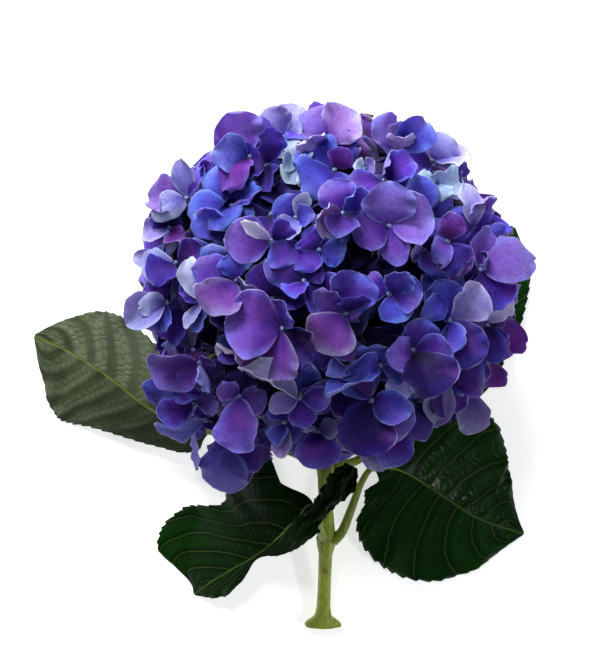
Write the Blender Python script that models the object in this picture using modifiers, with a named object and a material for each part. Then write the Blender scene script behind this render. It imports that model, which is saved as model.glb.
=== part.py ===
"""A cut mophead hydrangea lying on its back: one stem, four leaves, the branches of the flower head,
and the four-sepalled florets that they carry.

Lengths are metres and +Z is up. The stem runs along +Y, from its cut foot to the flower head, and the
whole flower rests on the plane z = 0. Florets stand on their sepals where the head meets that plane.
"""

import math

import bpy
import numpy as np
from mathutils import Matrix, Vector

MM = 0.001

# Driving dimensions.
HEAD_CENTRE = Vector((0.0, 0.0, 72.0)) * MM
HEAD_RADII = Vector((86.0, 77.0, 77.0)) * MM  # of the surface on which the florets' middles lie
FLORET_COUNT = 44
SEPAL_REACH = 20.5 * MM  # from a floret's middle to a sepal's tip
SEPAL_THICKNESS = 0.8 * MM
FLORET_GAP = 0.7 * MM  # kept between the rims of two neighbours
SEPAL_CUP = (0.28, 0.5)  # how far a sepal rises from level: the least and the most, in radians
SEPAL_CUP_CURVE = 0.7  # below 1, a sepal rises most near the bud
NOTCH_DEPTH = 0.34  # how far the rim is drawn in between two sepals, as a share of their reach
NOTCH_CURVE = 0.8  # below 1, the notches are wider and the sepals rounder
BUD_RADIUS = 1.7 * MM
RECEPTACLE_RADIUS = 1.6 * MM
NECK_DEPTH = 2.6 * MM  # from a floret's middle down to where its pedicel's tube begins
PEDICEL_RADIUS = 0.8 * MM
PEDICEL_BEND = 0.42  # how far down its own axis a pedicel heads before it bends, as a share of its span
FLAT_UNDERSIDE = -0.9  # florets that face further down than this stand on all four sepals
FLORET_HALF_DEPTH = 11.0 * MM  # room a floret takes on either side of its middle
FLORET_LIFTS = [0.0, 5.0, 10.0, 15.0]  # millimetres, tried in turn where a leaf lies under the head
CANDIDATE_COUNT = 1600  # places on the head's surface that are compared for the next floret
BRANCH_RADIUS = 1.7 * MM
KNOB_RADIUS = 4.4 * MM  # the swelling at a branch's end, where most pedicels start
# The knob's rings: how far past the branch's end, in knob radii, and each one's own radius.
KNOB_SHAPE = [(-1.2, 1.7 * MM), (-0.6, 3.5 * MM), (0.1, 4.1 * MM), (0.6, 2.9 * MM), (0.85, 1.2 * MM)]
LEAF_THICKNESS = 0.9 * MM
PETIOLE_RADIUS = 1.8 * MM
LOBE_SHARE = 0.3  # of the blade's length, over which a lobe at its base fades out
MIDRIB_TIP_SHARE = 0.25  # a midrib's half thickness at the leaf's tip, as a share of its petiole's
# How far a leaf's cross lines lean towards its tip, in degrees, at shares of the blade's length.
LEAF_SWEEP = ((0.0, 0.12, 0.6, 1.0), (0.0, -34.0, 8.0, 24.0))
TOUCH_GAP = 0.3 * MM  # between two pieces that meet face to face

# Facets.
FLORET_SIDES = 16
STEM_SIDES = 14
HALF_BLADE_STEPS = 4
LEAF_STATIONS = 22
BRANCH_POINTS = 7
SAMPLES_PER_SPAN = 16  # of a smooth line, between two of the points it passes through

# The stem, from its foot to the hub where the head branches: place, half width and half depth.
STEM_STATIONS = [
    ((-1.4, -169.0, 4.2), 8.6, 3.9),
    ((-1.4, -166.6, 5.1), 7.4, 3.8),
    ((-1.4, -163.0, 6.5), 4.6, 3.4),
    ((-1.2, -157.0, 8.9), 3.3, 3.1),
    ((-0.8, -143.0, 14.5), 3.1, 3.1),
    ((-0.4, -130.0, 20.0), 3.2, 3.1),
    ((-0.2, -125.5, 21.9), 4.3, 3.6),
    ((0.0, -121.5, 23.5), 4.9, 4.0),
    ((0.0, -117.5, 25.1), 3.9, 3.5),
    ((-0.6, -104.0, 30.6), 3.3, 3.2),
    ((-0.8, -91.0, 35.8), 3.6, 3.5),
    ((-0.6, -86.5, 37.6), 4.5, 4.1),
    ((-0.4, -82.0, 39.4), 3.7, 3.6),
    ((0.0, -69.0, 44.6), 3.8, 3.8),
    ((0.0, -62.7, 47.0), 5.2, 5.2),
    ((0.0, -59.9, 48.1), 5.8, 5.8),
    ((0.0, -57.1, 49.3), 5.8, 5.8),
    ((0.0, -54.8, 50.2), 4.2, 4.2),
    ((0.0, -53.7, 50.6), 2.2, 2.2),
]
HUB = Vector((0.0, -58.5, 48.7)) * MM
HUB_RADIUS = 7.2 * MM  # at which the branches start, just clear of the stem's end

# Florets that show most from the front, as their middles' places across and along the head, with how
# far each leans from straight outwards: to the right and upwards, in degrees.
FRONT_FLORETS = [
    ((26.0, 25.0), (-8.0, 0.0)),
    ((-19.0, -18.0), (0.0, 6.0)),
    ((37.0, -28.0), (-8.0, 6.0)),
    ((-22.0, 19.0), (-6.0, 4.0)),
    ((66.0, 6.0), (0.0, 4.0)),
    ((0.0, 60.0), (0.0, -10.0)),
    ((-36.0, 55.0), (4.0, -8.0)),
    ((46.0, 49.0), (0.0, -6.0)),
    ((-64.0, 38.0), (0.0, 0.0)),
    ((-63.0, 2.0), (-6.0, 0.0)),
    ((-54.0, -36.0), (4.0, 6.0)),
    ((-20.0, -58.0), (0.0, 8.0)),
    ((24.0, -60.0), (0.0, 8.0)),
    ((65.0, -33.0), (0.0, 0.0)),
]

# Where the branches of the head end, as directions from its centre: degrees round the stem's line and
# degrees up it. The first one carries the stem's line on.
BRANCH_ENDS = [(0, 90)] + [(30 + 60 * k, -4 if k % 2 else 14) for k in range(6)]
BRANCH_END_SHARE = 0.45  # of the head's radii
BRANCH_START_UP = 32  # degrees up the stem's line, at which the other branches leave the hub

# Each leaf: its line from the stem to the tip, the share of that line at which the blade begins, and
# its two halves. A half has its widths and how far it leans up from level, both at even steps from the
# blade's base to its tip, and how much further it curls on its way to the margin. A lobe is how far the
# margin reaches back past the blade's base.
LEAVES = {
    "leaf_right": {
        "line": [
            (7.0, -120.5, 25.5),
            (10.0, -112.5, 26.0),
            (13.5, -103.0, 27.0),
            (17.0, -94.0, 28.5),
            (22.0, -87.5, 30.0),
            (32.0, -87.0, 30.5),
            (43.0, -92.0, 28.5),
            (59.5, -103.5, 21.0),
            (76.0, -114.0, 12.0),
            (98.0, -122.0, 1.5),
        ],
        "blade_from": 0.30,
        "right": {"widths": (22, 37, 40, 41, 37, 24, 3), "leans": (-26, -16, -4), "curl": -8},
        "left": {"widths": (16, 35, 44, 48, 44, 25, 3), "leans": (-10, -6, 4), "curl": -16},
    },
    "leaf_front": {
        "line": [
            (-6.8, -120.0, 28.0),
            (-6.8, -114.0, 34.0),
            (-5.8, -107.0, 40.5),
            (-9.0, -103.5, 45.0),
            (-16.0, -110.5, 43.5),
            (-25.0, -120.0, 37.0),
            (-37.0, -130.0, 28.0),
            (-46.0, -136.0, 20.5),
            (-60.0, -146.6, 8.0),
            (-67.0, -153.3, 1.5),
        ],
        "blade_from": 0.21,
        "right": {"widths": (20, 29, 31, 29, 33, 37, 18), "leans": (-10, -12, -2), "curl": -20},
        "left": {
            "widths": (16, 27, 32, 34, 30, 22, 4),
            "leans": (62, 70, 46),
            "curl": 24,
            "lobe": 22,
        },
    },
    "leaf_left": {
        "line": [
            (-6.0, -86.0, 37.0),
            (-19.0, -88.0, 33.0),
            (-38.0, -86.0, 27.0),
            (-58.0, -79.0, 22.5),
            (-68.0, -73.0, 21.5),
            (-87.0, -58.5, 20.0),
            (-109.0, -42.0, 15.5),
            (-128.0, -31.0, 8.0),
            (-144.5, -24.0, 1.5),
        ],
        "blade_from": 0.36,
        "right": {"widths": (4, 14, 22, 28, 31, 23, 3), "leans": (-2, -6, 2), "curl": -8},
        "left": {"widths": (4, 15, 22, 27, 29, 22, 3), "leans": (-24, -20, -4), "curl": -8},
    },
    "leaf_back": {
        "line": [
            (4.8, -86.0, 36.0),
            (16.0, -83.0, 29.0),
            (30.0, -73.0, 20.0),
            (44.0, -58.0, 11.0),
            (58.0, -36.0, 5.5),
            (68.0, -12.0, 3.5),
            (76.0, 12.0, 3.0),
            (84.0, 38.0, 1.5),
        ],
        "blade_from": 0.22,
        "right": {"widths": (4, 17, 24, 27, 25, 16, 2), "leans": (0, 2, 2), "curl": 0},
        "left": {"widths": (4, 17, 24, 25, 22, 14, 2), "leans": (4, 2, 2), "curl": 0},
    },
}


def clear_scene():
    for obj in list(bpy.data.objects):
        bpy.data.objects.remove(obj, do_unlink=True)


def make_material(name, colour, roughness):
    """A Principled material of one base colour."""
    material = bpy.data.materials.new(name)
    material.use_nodes = True
    shader = material.node_tree.nodes["Principled BSDF"]
    shader.inputs["Base Color"].default_value = (*colour, 1.0)
    shader.inputs["Roughness"].default_value = roughness
    shader.inputs["Metallic"].default_value = 0.0
    return material


def add_object(name, data, material, collection, parent):
    data.materials.append(material)
    obj = bpy.data.objects.new(name, data)
    collection.objects.link(obj)
    obj.parent = parent
    return obj


def smooth_line(points, count):
    """Points evenly spaced along a Catmull-Rom curve through the given points."""
    knots = np.array([tuple(p) for p in points], float)
    padded = np.vstack([2 * knots[0] - knots[1], knots, 2 * knots[-1] - knots[-2]])
    pieces = []
    step = np.linspace(0.0, 1.0, SAMPLES_PER_SPAN, endpoint=False)[:, None]
    for a, b, c, d in zip(padded, padded[1:], padded[2:], padded[3:]):
        pieces.append(
            0.5
            * (
                2 * b
                + (c - a) * step
                + (2 * a - 5 * b + 4 * c - d) * step**2
                + (3 * b - a - 3 * c + d) * step**3
            )
        )
    dense = np.vstack([*pieces, knots[-1:]])
    along = np.concatenate([[0.0], np.cumsum(np.linalg.norm(np.diff(dense, axis=0), axis=1))])
    wanted = np.linspace(0.0, along[-1], count)
    return np.stack([np.interp(wanted, along, dense[:, k]) for k in range(3)], axis=1)


def line_frames(line):
    """Unit vectors along a line, to its right, and out of it on the upper side, at each point."""
    along = np.gradient(line, axis=0)
    along /= np.linalg.norm(along, axis=1)[:, None]
    right = np.cross(along, [0.0, 0.0, 1.0])
    right /= np.linalg.norm(right, axis=1)[:, None]
    return along, right, np.cross(right, along)


def loft(name, rings, is_thin=False):
    """A closed mesh through rings of equal point count, its two ends filled.

    A thin section starts and ends its upper side at the first point and at the one half way round. Its
    warped faces are split into triangles, and its ends are filled by a strip between its two sides.
    """
    ring_count, points_each = rings.shape[:2]
    faces = [
        (
            i * points_each + j,
            i * points_each + (j + 1) % points_each,
            (i + 1) * points_each + (j + 1) % points_each,
            (i + 1) * points_each + j,
        )
        for i in range(ring_count - 1)
        for j in range(points_each)
    ]
    last = (ring_count - 1) * points_each
    if is_thin:
        half = points_each // 2
        strip = [(k, points_each - k, points_each - k - 1, k + 1) for k in range(1, half - 1)]
        faces += strip + [tuple(last + k for k in reversed(face)) for face in strip]
        faces = [part for a, b, c, d in faces for part in ((a, b, d), (b, c, d))]
        points = [(0, points_each - 1, 1), (half - 1, half + 1, half)]
        faces += points + [tuple(last + k for k in reversed(face)) for face in points]
    else:
        faces.append(tuple(reversed(range(points_each))))
        faces.append(tuple(range(last, last + points_each)))
    mesh = bpy.data.meshes.new(name)
    mesh.from_pydata(rings.reshape(-1, 3).tolist(), [], faces)
    mesh.validate()
    mesh.shade_smooth()
    mesh.set_sharp_from_angle(angle=math.radians(60))
    return mesh


def stem_mesh():
    """The stem: elliptic rings at its stations, with swellings where leaves and branches start."""
    right = Vector((1.0, 0.0, 0.0))
    # All rings share one tilt, square to the stem as a whole, so that the foot is a flat cut.
    outward = right.cross(Vector(STEM_STATIONS[-1][0]) - Vector(STEM_STATIONS[0][0])).normalized()
    turn = np.linspace(0.0, 2 * math.pi, STEM_SIDES, endpoint=False)
    rings = [
        np.array(place) * MM
        - np.outer(np.cos(turn) * half_width * MM, right)
        + np.outer(np.sin(turn) * half_depth * MM, outward)
        for place, half_width, half_depth in STEM_STATIONS
    ]
    return loft("stem", np.array(rings))


def at_share(values, share):
    """A value between evenly spaced ones."""
    return np.interp(share, np.linspace(0.0, 1.0, len(values)), values)


def half_blade(leaf, side, share):
    """Across, up and back of points from the midrib to the margin, for a half that leans and curls."""
    stride = at_share(leaf[side]["widths"], share) * MM / HALF_BLADE_STEPS
    curl = leaf[side]["curl"] * (np.arange(HALF_BLADE_STEPS) + 0.5) / HALF_BLADE_STEPS
    angle = np.radians(at_share(leaf[side]["leans"], share) + curl)
    across = np.concatenate([[0.0], np.cumsum(np.cos(angle) * stride)])
    up = np.concatenate([[0.0], np.cumsum(np.sin(angle) * stride)])
    back = np.linspace(0.0, leaf[side].get("lobe", 0.0) * MM * max(0.0, 1.0 - share / LOBE_SHARE), len(up))
    return across, up, back


def leaf_section(leaf, share):
    """Across, up, back and half thickness of a leaf's section: its petiole's, or its blade's."""
    if share <= 0.0:
        turn = np.linspace(-math.pi, 0.0, 2 * HALF_BLADE_STEPS + 1)
        across = np.cos(turn) * PETIOLE_RADIUS
        return across, 0.0 * across, 0.0 * across, -np.sin(turn) * PETIOLE_RADIUS
    right_across, right_up, right_back = half_blade(leaf, "right", share)
    left_across, left_up, left_back = half_blade(leaf, "left", share)
    across = np.concatenate([-left_across[::-1], right_across[1:]])
    up = np.concatenate([left_up[::-1], right_up[1:]])
    back = np.concatenate([left_back[::-1], right_back[1:]])
    half = np.full_like(across, LEAF_THICKNESS / 2)
    half[HALF_BLADE_STEPS] = PETIOLE_RADIUS * (1.0 - (1.0 - MIDRIB_TIP_SHARE) * share)
    half[[0, -1]] = 0.0
    return across, up, back, half


def leaf_mesh(name, leaf):
    """Petiole and blade in one loft: a round section that widens into a thin, leaning, curled one."""
    line = smooth_line(np.array(leaf["line"]) * MM, LEAF_STATIONS)
    along, right, out = line_frames(line)
    rings = []
    for k, place in enumerate(line):
        share = (k / (LEAF_STATIONS - 1) - leaf["blade_from"]) / (1.0 - leaf["blade_from"])
        across, up, back, half = leaf_section(leaf, share)
        sweep = np.radians(np.interp(share, *LEAF_SWEEP))
        middle = (
            place
            + np.outer(across * math.cos(sweep), right[k])
            + np.outer(np.abs(across) * math.sin(sweep) - back, along[k])
            + np.outer(up, out[k])
        )
        # Where the blade would pass below the surface it lies flat on it.
        middle[:, 2] = np.maximum(middle[:, 2], (half.max() + LEAF_THICKNESS) / 2)
        upper = middle + np.outer(half, out[k])
        lower = middle - np.outer(half, out[k])
        rings.append(np.vstack([upper, lower[-2:0:-1]]))
    return loft(name, np.array(rings), is_thin=True)


def head_point(direction, share=1.0):
    """The point of the head's surface, or of a smaller one inside it, in a direction from its centre."""
    unit = direction.normalized()
    scaled = Vector(a / b for a, b in zip(unit, HEAD_RADII))
    return HEAD_CENTRE + unit * (share / scaled.length)


def outward_at(place):
    """The head surface's outward direction at a place on it."""
    offset = place - HEAD_CENTRE
    return Vector(a / b**2 for a, b in zip(offset, HEAD_RADII)).normalized()


def front_places():
    """Middles and facings of the florets that are placed by hand on the front of the head."""
    found = []
    for (across, along), (lean_right, lean_up) in FRONT_FLORETS:
        x, y = across * MM, along * MM
        height = math.sqrt(1.0 - (x / HEAD_RADII.x) ** 2 - (y / HEAD_RADII.y) ** 2)
        place = HEAD_CENTRE + Vector((x, y, height * HEAD_RADII.z))
        turn = Matrix.Rotation(math.radians(lean_right), 3, "Y")
        turn @= Matrix.Rotation(math.radians(-lean_up), 3, "X")
        found.append((place, turn @ outward_at(place)))
    return found


def is_clear(place, facing, obstacles):
    """True where the room round a floret, flatter along its facing, holds none of the points."""
    offsets = obstacles - np.array(place)
    along = offsets @ np.array(facing)
    across = np.sqrt(np.maximum(np.sum(offsets**2, axis=1) - along**2, 0.0))
    return np.hypot(along / FLORET_HALF_DEPTH, across / (SEPAL_REACH + FLORET_GAP)).min() > 1.0


def rim_depth(facing):
    """How far the lowest rim of a cupped floret can lie below its middle."""
    level = math.sqrt(max(0.0, 1.0 - facing.z**2))
    return SEPAL_REACH * max(level * math.cos(c) - facing.z * math.sin(c) for c in SEPAL_CUP)


def floret_places(obstacles):
    """All florets: the front ones, then each next one where the head's surface has most room."""
    found = front_places()
    golden = math.pi * (3.0 - math.sqrt(5.0))
    candidates = []
    for k in range(CANDIDATE_COUNT):
        rise = 1.0 - 2.0 * (k + 0.5) / CANDIDATE_COUNT
        ring = math.sqrt(1.0 - rise * rise)
        place = head_point(Vector((ring * math.cos(golden * k), ring * math.sin(golden * k), rise)))
        facing = outward_at(place)
        if facing.z < FLAT_UNDERSIDE:
            facing = Vector((0.0, 0.0, -1.0))
        place.z = max(place.z, rim_depth(facing))
        for lift in FLORET_LIFTS:
            lifted = place + Vector((0.0, 0.0, lift)) * MM
            if is_clear(lifted, facing, obstacles):
                candidates.append((lifted, facing))
                break
    room = [min((c[0] - f[0]).length for f in found) for c in candidates]
    while len(found) < FLORET_COUNT:
        best = max(range(len(candidates)), key=room.__getitem__)
        found.append(candidates[best])
        room = [min(r, (c[0] - candidates[best][0]).length) for r, c in zip(room, candidates)]
    return found


def turned_profile(name, profile, steps):
    """A solid turned about Z from a profile that runs from its top, down its outer side."""
    mesh = bpy.data.meshes.new(name)
    edges = [(k, k + 1) for k in range(len(profile) - 1)]
    mesh.from_pydata([(radius, 0.0, height) for radius, height in profile], edges, [])
    temporary = bpy.data.objects.new(name, mesh)
    bpy.context.scene.collection.objects.link(temporary)
    screw = temporary.modifiers.new("turn", "SCREW")
    screw.steps = screw.render_steps = steps
    screw.use_merge_vertices = True
    screw.merge_threshold = 0.00001
    graph = bpy.context.evaluated_depsgraph_get()
    turned = bpy.data.meshes.new_from_object(temporary.evaluated_get(graph))
    bpy.data.objects.remove(temporary)
    return turned


def cup_sepals(points, reach, cups):
    """Draws a flat disc's rim in between four sepals, and raises each by its own angle."""
    radius = np.hypot(points[:, 0], points[:, 1])
    turn = np.arctan2(points[:, 1], points[:, 0])
    out = np.clip((radius - BUD_RADIUS) / (reach - BUD_RADIUS), 0.0, 1.0)
    notch = 1.0 - NOTCH_DEPTH * out * (1.0 - np.abs(np.cos(2.0 * turn)) ** NOTCH_CURVE)
    sepal = np.round(turn / (math.pi / 2)).astype(int) % 4
    lift = cups[sepal] * out**SEPAL_CUP_CURVE
    points[:, :2] *= (notch * np.cos(lift))[:, None]
    points[:, 2] += np.where(out > 0.0, radius * notch * np.sin(lift), 0.0)
    return points


def bend_ring(ring, depth, centre, heading):
    """Moves a ring of the pedicel from its depth on the axis to a centre, square to a heading."""
    tilt = Vector((0.0, 0.0, -1.0)).rotation_difference(Vector(heading)).to_matrix()
    return (ring + np.array([0.0, 0.0, depth])) @ np.array(tilt).T + centre


def floret_mesh(name, reach, cups, foot):
    """Four joined sepals round a bud, with a pedicel that bends from under them to its foot."""
    profile = [
        (0.0, BUD_RADIUS * 1.1),
        (BUD_RADIUS, BUD_RADIUS * 0.5),
        (reach / 2, SEPAL_THICKNESS / 2),
        (reach, 0.0),
        (reach / 2, -SEPAL_THICKNESS / 2),
        (RECEPTACLE_RADIUS, -SEPAL_THICKNESS),
        (PEDICEL_RADIUS, -NECK_DEPTH),
        (PEDICEL_RADIUS, -2 * NECK_DEPTH),
        (PEDICEL_RADIUS, -3 * NECK_DEPTH),
        (0.0, -3 * NECK_DEPTH),
    ]
    mesh = turned_profile(name, profile, FLORET_SIDES)
    points = np.array([vertex.co for vertex in mesh.vertices])
    depth = -points[:, 2]
    sepals = depth < (SEPAL_THICKNESS + NECK_DEPTH) / 2
    middle_ring = np.isclose(depth, 2 * NECK_DEPTH, atol=0.1 * MM)
    end_ring = np.isclose(depth, 3 * NECK_DEPTH, atol=0.1 * MM)
    points[sepals] = cup_sepals(points[sepals], reach, cups)

    # The pedicel is a quadratic curve from its top, by a point on the floret's axis, to its foot.
    top = np.array([0.0, 0.0, -NECK_DEPTH])
    foot = np.array(foot)
    by = np.array([0.0, 0.0, -PEDICEL_BEND * np.linalg.norm(foot)])
    points[middle_ring] = bend_ring(
        points[middle_ring], 2 * NECK_DEPTH, (top + 2 * by + foot) / 4, foot - top
    )
    points[end_ring] = bend_ring(points[end_ring], 3 * NECK_DEPTH, foot, foot - by)
    mesh.vertices.foreach_set("co", points.astype(np.float32).ravel())
    mesh.update()
    mesh.shade_smooth()
    mesh.set_sharp_from_angle(angle=math.radians(50))
    return mesh


def facing_matrix(place, facing, spin):
    turn = Vector((0, 0, 1)).rotation_difference(facing).to_matrix().to_4x4()
    return Matrix.Translation(place) @ turn @ Matrix.Rotation(spin, 4, "Z")


def from_stem_line(around, up):
    """A unit direction, from degrees round the stem's line and degrees up it."""
    axis = (HEAD_CENTRE - HUB).normalized()
    side = Vector((1.0, 0.0, 0.0))
    a, e = math.radians(around), math.radians(up)
    return (side * math.cos(a) + side.cross(axis) * math.sin(a)) * math.cos(e) + axis * math.sin(e)


def branch_line(around, up):
    """Points of one branch of the head, from just off the hub to its knob."""
    start = HUB + from_stem_line(around, max(up, BRANCH_START_UP)) * HUB_RADIUS
    end = head_point(from_stem_line(around, up), BRANCH_END_SHARE)
    middle = start.lerp(end, 0.5) + (start - HUB) * 0.4
    line = smooth_line([start, middle, end], BRANCH_POINTS)
    return [Vector(point) for point in line]


def add_branch(name, line, material, collection, parent):
    """One branch of the head: a tube along its line that swells into a knob."""
    beyond = (line[-1] - line[-2]).normalized()
    shape = [(point, BRANCH_RADIUS) for point in line[:-2]]
    for ahead, radius in KNOB_SHAPE:
        shape.append((line[-1] + beyond * KNOB_RADIUS * ahead, radius))
    curve = bpy.data.curves.new(name, "CURVE")
    curve.dimensions = "3D"
    curve.bevel_depth = 1.0
    curve.bevel_resolution = 2
    curve.use_fill_caps = True
    spline = curve.splines.new("POLY")
    spline.points.add(len(shape) - 1)
    for point, (place, radius) in zip(spline.points, shape):
        point.co = (*place, 1.0)
        point.radius = radius
    return add_object(name, curve, material, collection, parent)


def pedicel_foot(place, lines):
    """Where a floret's pedicel ends: just off the nearest part of any branch."""
    joints = [(point, BRANCH_RADIUS) for line in lines for point in line[1:-2]]
    joints += [(line[-1], KNOB_RADIUS) for line in lines]
    point, radius = min(joints, key=lambda joint: (place - joint[0]).length - joint[1])
    return point + (place - point).normalized() * (radius + TOUCH_GAP + PEDICEL_RADIUS)


def add_florets(lines, obstacles, material, collection, parent):
    """Every floret on its pedicel, opened as far as its neighbours leave room for."""
    rng = np.random.default_rng(5)
    places = floret_places(obstacles)
    for number, (place, facing) in enumerate(places, 1):
        nearest = min((place - other).length for other, _ in places if other is not place)
        reach = min(SEPAL_REACH, nearest / 2 - FLORET_GAP)
        matrix = facing_matrix(place, facing, rng.uniform(0.0, math.pi / 2))
        foot = matrix.inverted() @ pedicel_foot(place, lines)
        cups = rng.uniform(*SEPAL_CUP, 4)
        if facing.z < FLAT_UNDERSIDE:
            cups[:] = SEPAL_CUP[1]
        name = f"floret_{number:02d}"
        obj = add_object(name, floret_mesh(name, reach, cups, foot), material, collection, parent)
        obj.matrix_local = matrix


def mesh_points(objects):
    return np.array([vertex.co[:] for obj in objects for vertex in obj.data.vertices])


def rest_on_origin(objects, parent):
    """Moves the whole flower so that the middle of its box's underside is the origin."""
    bpy.context.view_layer.update()
    graph = bpy.context.evaluated_depsgraph_get()
    corners = [
        obj.matrix_world @ vertex.co
        for obj in objects
        for vertex in obj.evaluated_get(graph).to_mesh().vertices
    ]
    low = Vector(min(c[k] for c in corners) for k in range(3))
    high = Vector(max(c[k] for c in corners) for k in range(3))
    parent.location = -Vector(((low.x + high.x) / 2, (low.y + high.y) / 2, low.z))


def main():
    clear_scene()
    collection = bpy.data.collections.new("hydrangea")
    bpy.context.scene.collection.children.link(collection)
    whole = bpy.data.objects.new("hydrangea", None)
    collection.objects.link(whole)

    stem_green = make_material("stem_green", (0.19, 0.26, 0.07), 0.55)
    branch_green = make_material("branch_green", (0.22, 0.30, 0.10), 0.55)
    leaf_green = make_material("leaf_green", (0.015, 0.06, 0.015), 0.35)
    sepal_violet = make_material("sepal_violet", (0.12, 0.06, 0.38), 0.6)

    held = [add_object("stem", stem_mesh(), stem_green, collection, whole)]
    for name, leaf in LEAVES.items():
        held.append(add_object(name, leaf_mesh(name, leaf), leaf_green, collection, whole))
    lines = [branch_line(*end) for end in BRANCH_ENDS]
    for number, line in enumerate(lines, 1):
        add_branch(f"branch_{number}", line, branch_green, collection, whole)
    add_florets(lines, mesh_points(held), sepal_violet, collection, whole)

    pieces = [obj for obj in collection.objects if obj.type != "EMPTY"]
    rest_on_origin(pieces, whole)


main()
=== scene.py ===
import math

import bpy
import numpy as np
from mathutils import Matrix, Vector


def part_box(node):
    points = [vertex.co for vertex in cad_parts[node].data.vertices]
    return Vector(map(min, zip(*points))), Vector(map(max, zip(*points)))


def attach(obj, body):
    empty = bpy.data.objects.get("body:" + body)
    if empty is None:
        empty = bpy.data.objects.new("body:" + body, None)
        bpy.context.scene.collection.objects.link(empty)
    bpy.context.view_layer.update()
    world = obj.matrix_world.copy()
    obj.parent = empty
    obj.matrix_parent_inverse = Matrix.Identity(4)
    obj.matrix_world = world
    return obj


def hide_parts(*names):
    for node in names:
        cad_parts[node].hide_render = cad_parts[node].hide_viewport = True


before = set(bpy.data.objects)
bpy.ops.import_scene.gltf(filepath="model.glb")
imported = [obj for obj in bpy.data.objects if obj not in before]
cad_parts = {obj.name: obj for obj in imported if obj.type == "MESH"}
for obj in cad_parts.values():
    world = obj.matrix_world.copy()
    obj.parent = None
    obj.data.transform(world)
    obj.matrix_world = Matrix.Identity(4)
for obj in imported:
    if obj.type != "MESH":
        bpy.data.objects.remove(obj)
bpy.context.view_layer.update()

chance = np.random.default_rng(21)

# The flower head: its radii, its middle's height over the floor, and where that middle is from the
# stem's box. Places below are millimetres from headFoot, the point on the floor under the middle, as in
# the solid model: across, along the stem, and up.
head = {
    "radii": np.array([0.086, 0.077, 0.077]),
    "height": 0.072,
    "right": 0.0014,  # of the stem's middle
    "ahead": 0.0529,  # of the stem's end
    "above": 0.0173,  # the stem's top
}
stemLow, stemHigh = (np.array(c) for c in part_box("stem"))
headFoot = np.array(
    [
        (stemLow[0] + stemHigh[0]) / 2 + head["right"],
        stemHigh[1] + head["ahead"],
        stemHigh[2] + head["above"] - head["height"],
    ]
)
head["middle"] = headFoot + [0, 0, head["height"]]


# Metres in the frame, from millimetres measured as above.
def at(points):
    return headFoot + np.asarray(points, float) * 0.001


# The camera looks straight down, from a distance above the head's middle and shifted right and up.
camera = {"distance": 0.9, "right": -0.0138, "up": -0.01725, "lens": 109.2}


# A true place, from where it appears at the level of the head's middle (millimetres) and its height
# above that level (metres): it shrinks towards the camera's axis by height / distance.
def seen(x, y, z):
    axis = head["middle"][:2] + [camera["right"], camera["up"]]
    flat = np.stack([np.asarray(x), np.asarray(y)], -1) * 0.001 + head["middle"][:2]
    z = np.asarray(z, float)
    flat = axis + (flat - axis) * (1 - z / camera["distance"])[..., None]
    return np.concatenate([flat, (head["middle"][2] + z)[..., None]], -1)


# Each vector over its length.
def unit(a):
    return a / np.maximum(np.linalg.norm(a, axis=-1, keepdims=True), 1e-12)


# Rows of a table at the wanted places, on straight lines between the places it is given for.
def between(wanted, places, table):
    return np.stack([np.interp(wanted, places, column) for column in table.T], 1)


# The directions across a line that runs along, and out of it on the side that is up.
def sideways(along, up=(0.0, 0.0, 1.0)):
    right = unit(np.cross(along, up))
    return right, np.cross(right, along)


# 0 below low, 1 above high, 3t^2 - 2t^3 between.
def smooth(a, low, high):
    t = np.clip((a - low) / (high - low), 0, 1)
    return t * t * (3 - 2 * t)


# Linear light from a colour given in 0 to 255 steps as a screen shows it.
def linear(colour):
    c = np.asarray(colour, float) / 255
    return np.where(c <= 0.04045, c / 12.92, ((c + 0.055) / 1.055) ** 2.4)


# What a shader node gives. Each operation on it makes one arithmetic node, such as SINE or POWER.
class Value:
    def __init__(self, tree, socket):
        self.tree, self.socket = tree, socket

    def maths(self, operation, *others):
        inputs = dict(enumerate((self, *others)))
        return addNode(self.tree, "ShaderNodeMath", inputs, 0, operation=operation)

    def __add__(self, other):
        return self.maths("ADD", other)

    def __sub__(self, other):
        return self.maths("SUBTRACT", other)

    def __mul__(self, other):
        return self.maths("MULTIPLY", other)

    def __truediv__(self, other):
        return self.maths("DIVIDE", other)

    def absolute(self):
        return self.maths("ABSOLUTE")

    def sine(self):
        return self.maths("SINE")


# Sets a node's inputs: a Value is linked, and anything else is the same all over.
def setInputs(node, inputs):
    for key, value in inputs.items():
        if isinstance(value, Value):
            value.tree.links.new(value.socket, node.inputs[key])
        else:
            node.inputs[key].default_value = value


# One shader node with its settings and inputs, and the output that is wanted of it.
def addNode(tree, kind, inputs, output, **settings):
    made = tree.nodes.new(kind)
    for name, value in settings.items():
        setattr(made, name, value)
    setInputs(made, inputs)
    return Value(tree, made.outputs[output])


# The value that the mesh keeps at each of its points under this name.
def pointValue(tree, name, output="Fac"):
    return addNode(tree, "ShaderNodeAttribute", {}, output, attribute_name=name)


# One of the parts x, y, z, or red, green, blue, numbered from 0.
def partOf(value, index):
    return addNode(value.tree, "ShaderNodeSeparateXYZ", {0: value}, index)


# An object's own coordinates, and its two surface coordinates x and y.
def coordinates(tree):
    surface = addNode(tree, "ShaderNodeTexCoord", {}, "UV")
    return addNode(tree, "ShaderNodeTexCoord", {}, "Object"), partOf(surface, 0), partOf(surface, 1)


# Smooth step of a value from low to high, onto start to end.
def ramp(value, low, high, start=0.0, end=1.0):
    inputs = {0: value, 1: low, 2: high, 3: start, 4: end}
    return addNode(value.tree, "ShaderNodeMapRange", inputs, 0, interpolation_type="SMOOTHSTEP")


# a towards b by amount, in the given way.
def blendColour(amount, a, b, way="MIX"):
    inputs = {0: amount, 6: a, 7: b}
    return addNode(amount.tree, "ShaderNodeMix", inputs, 2, data_type="RGBA", blend_type=way)


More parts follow.
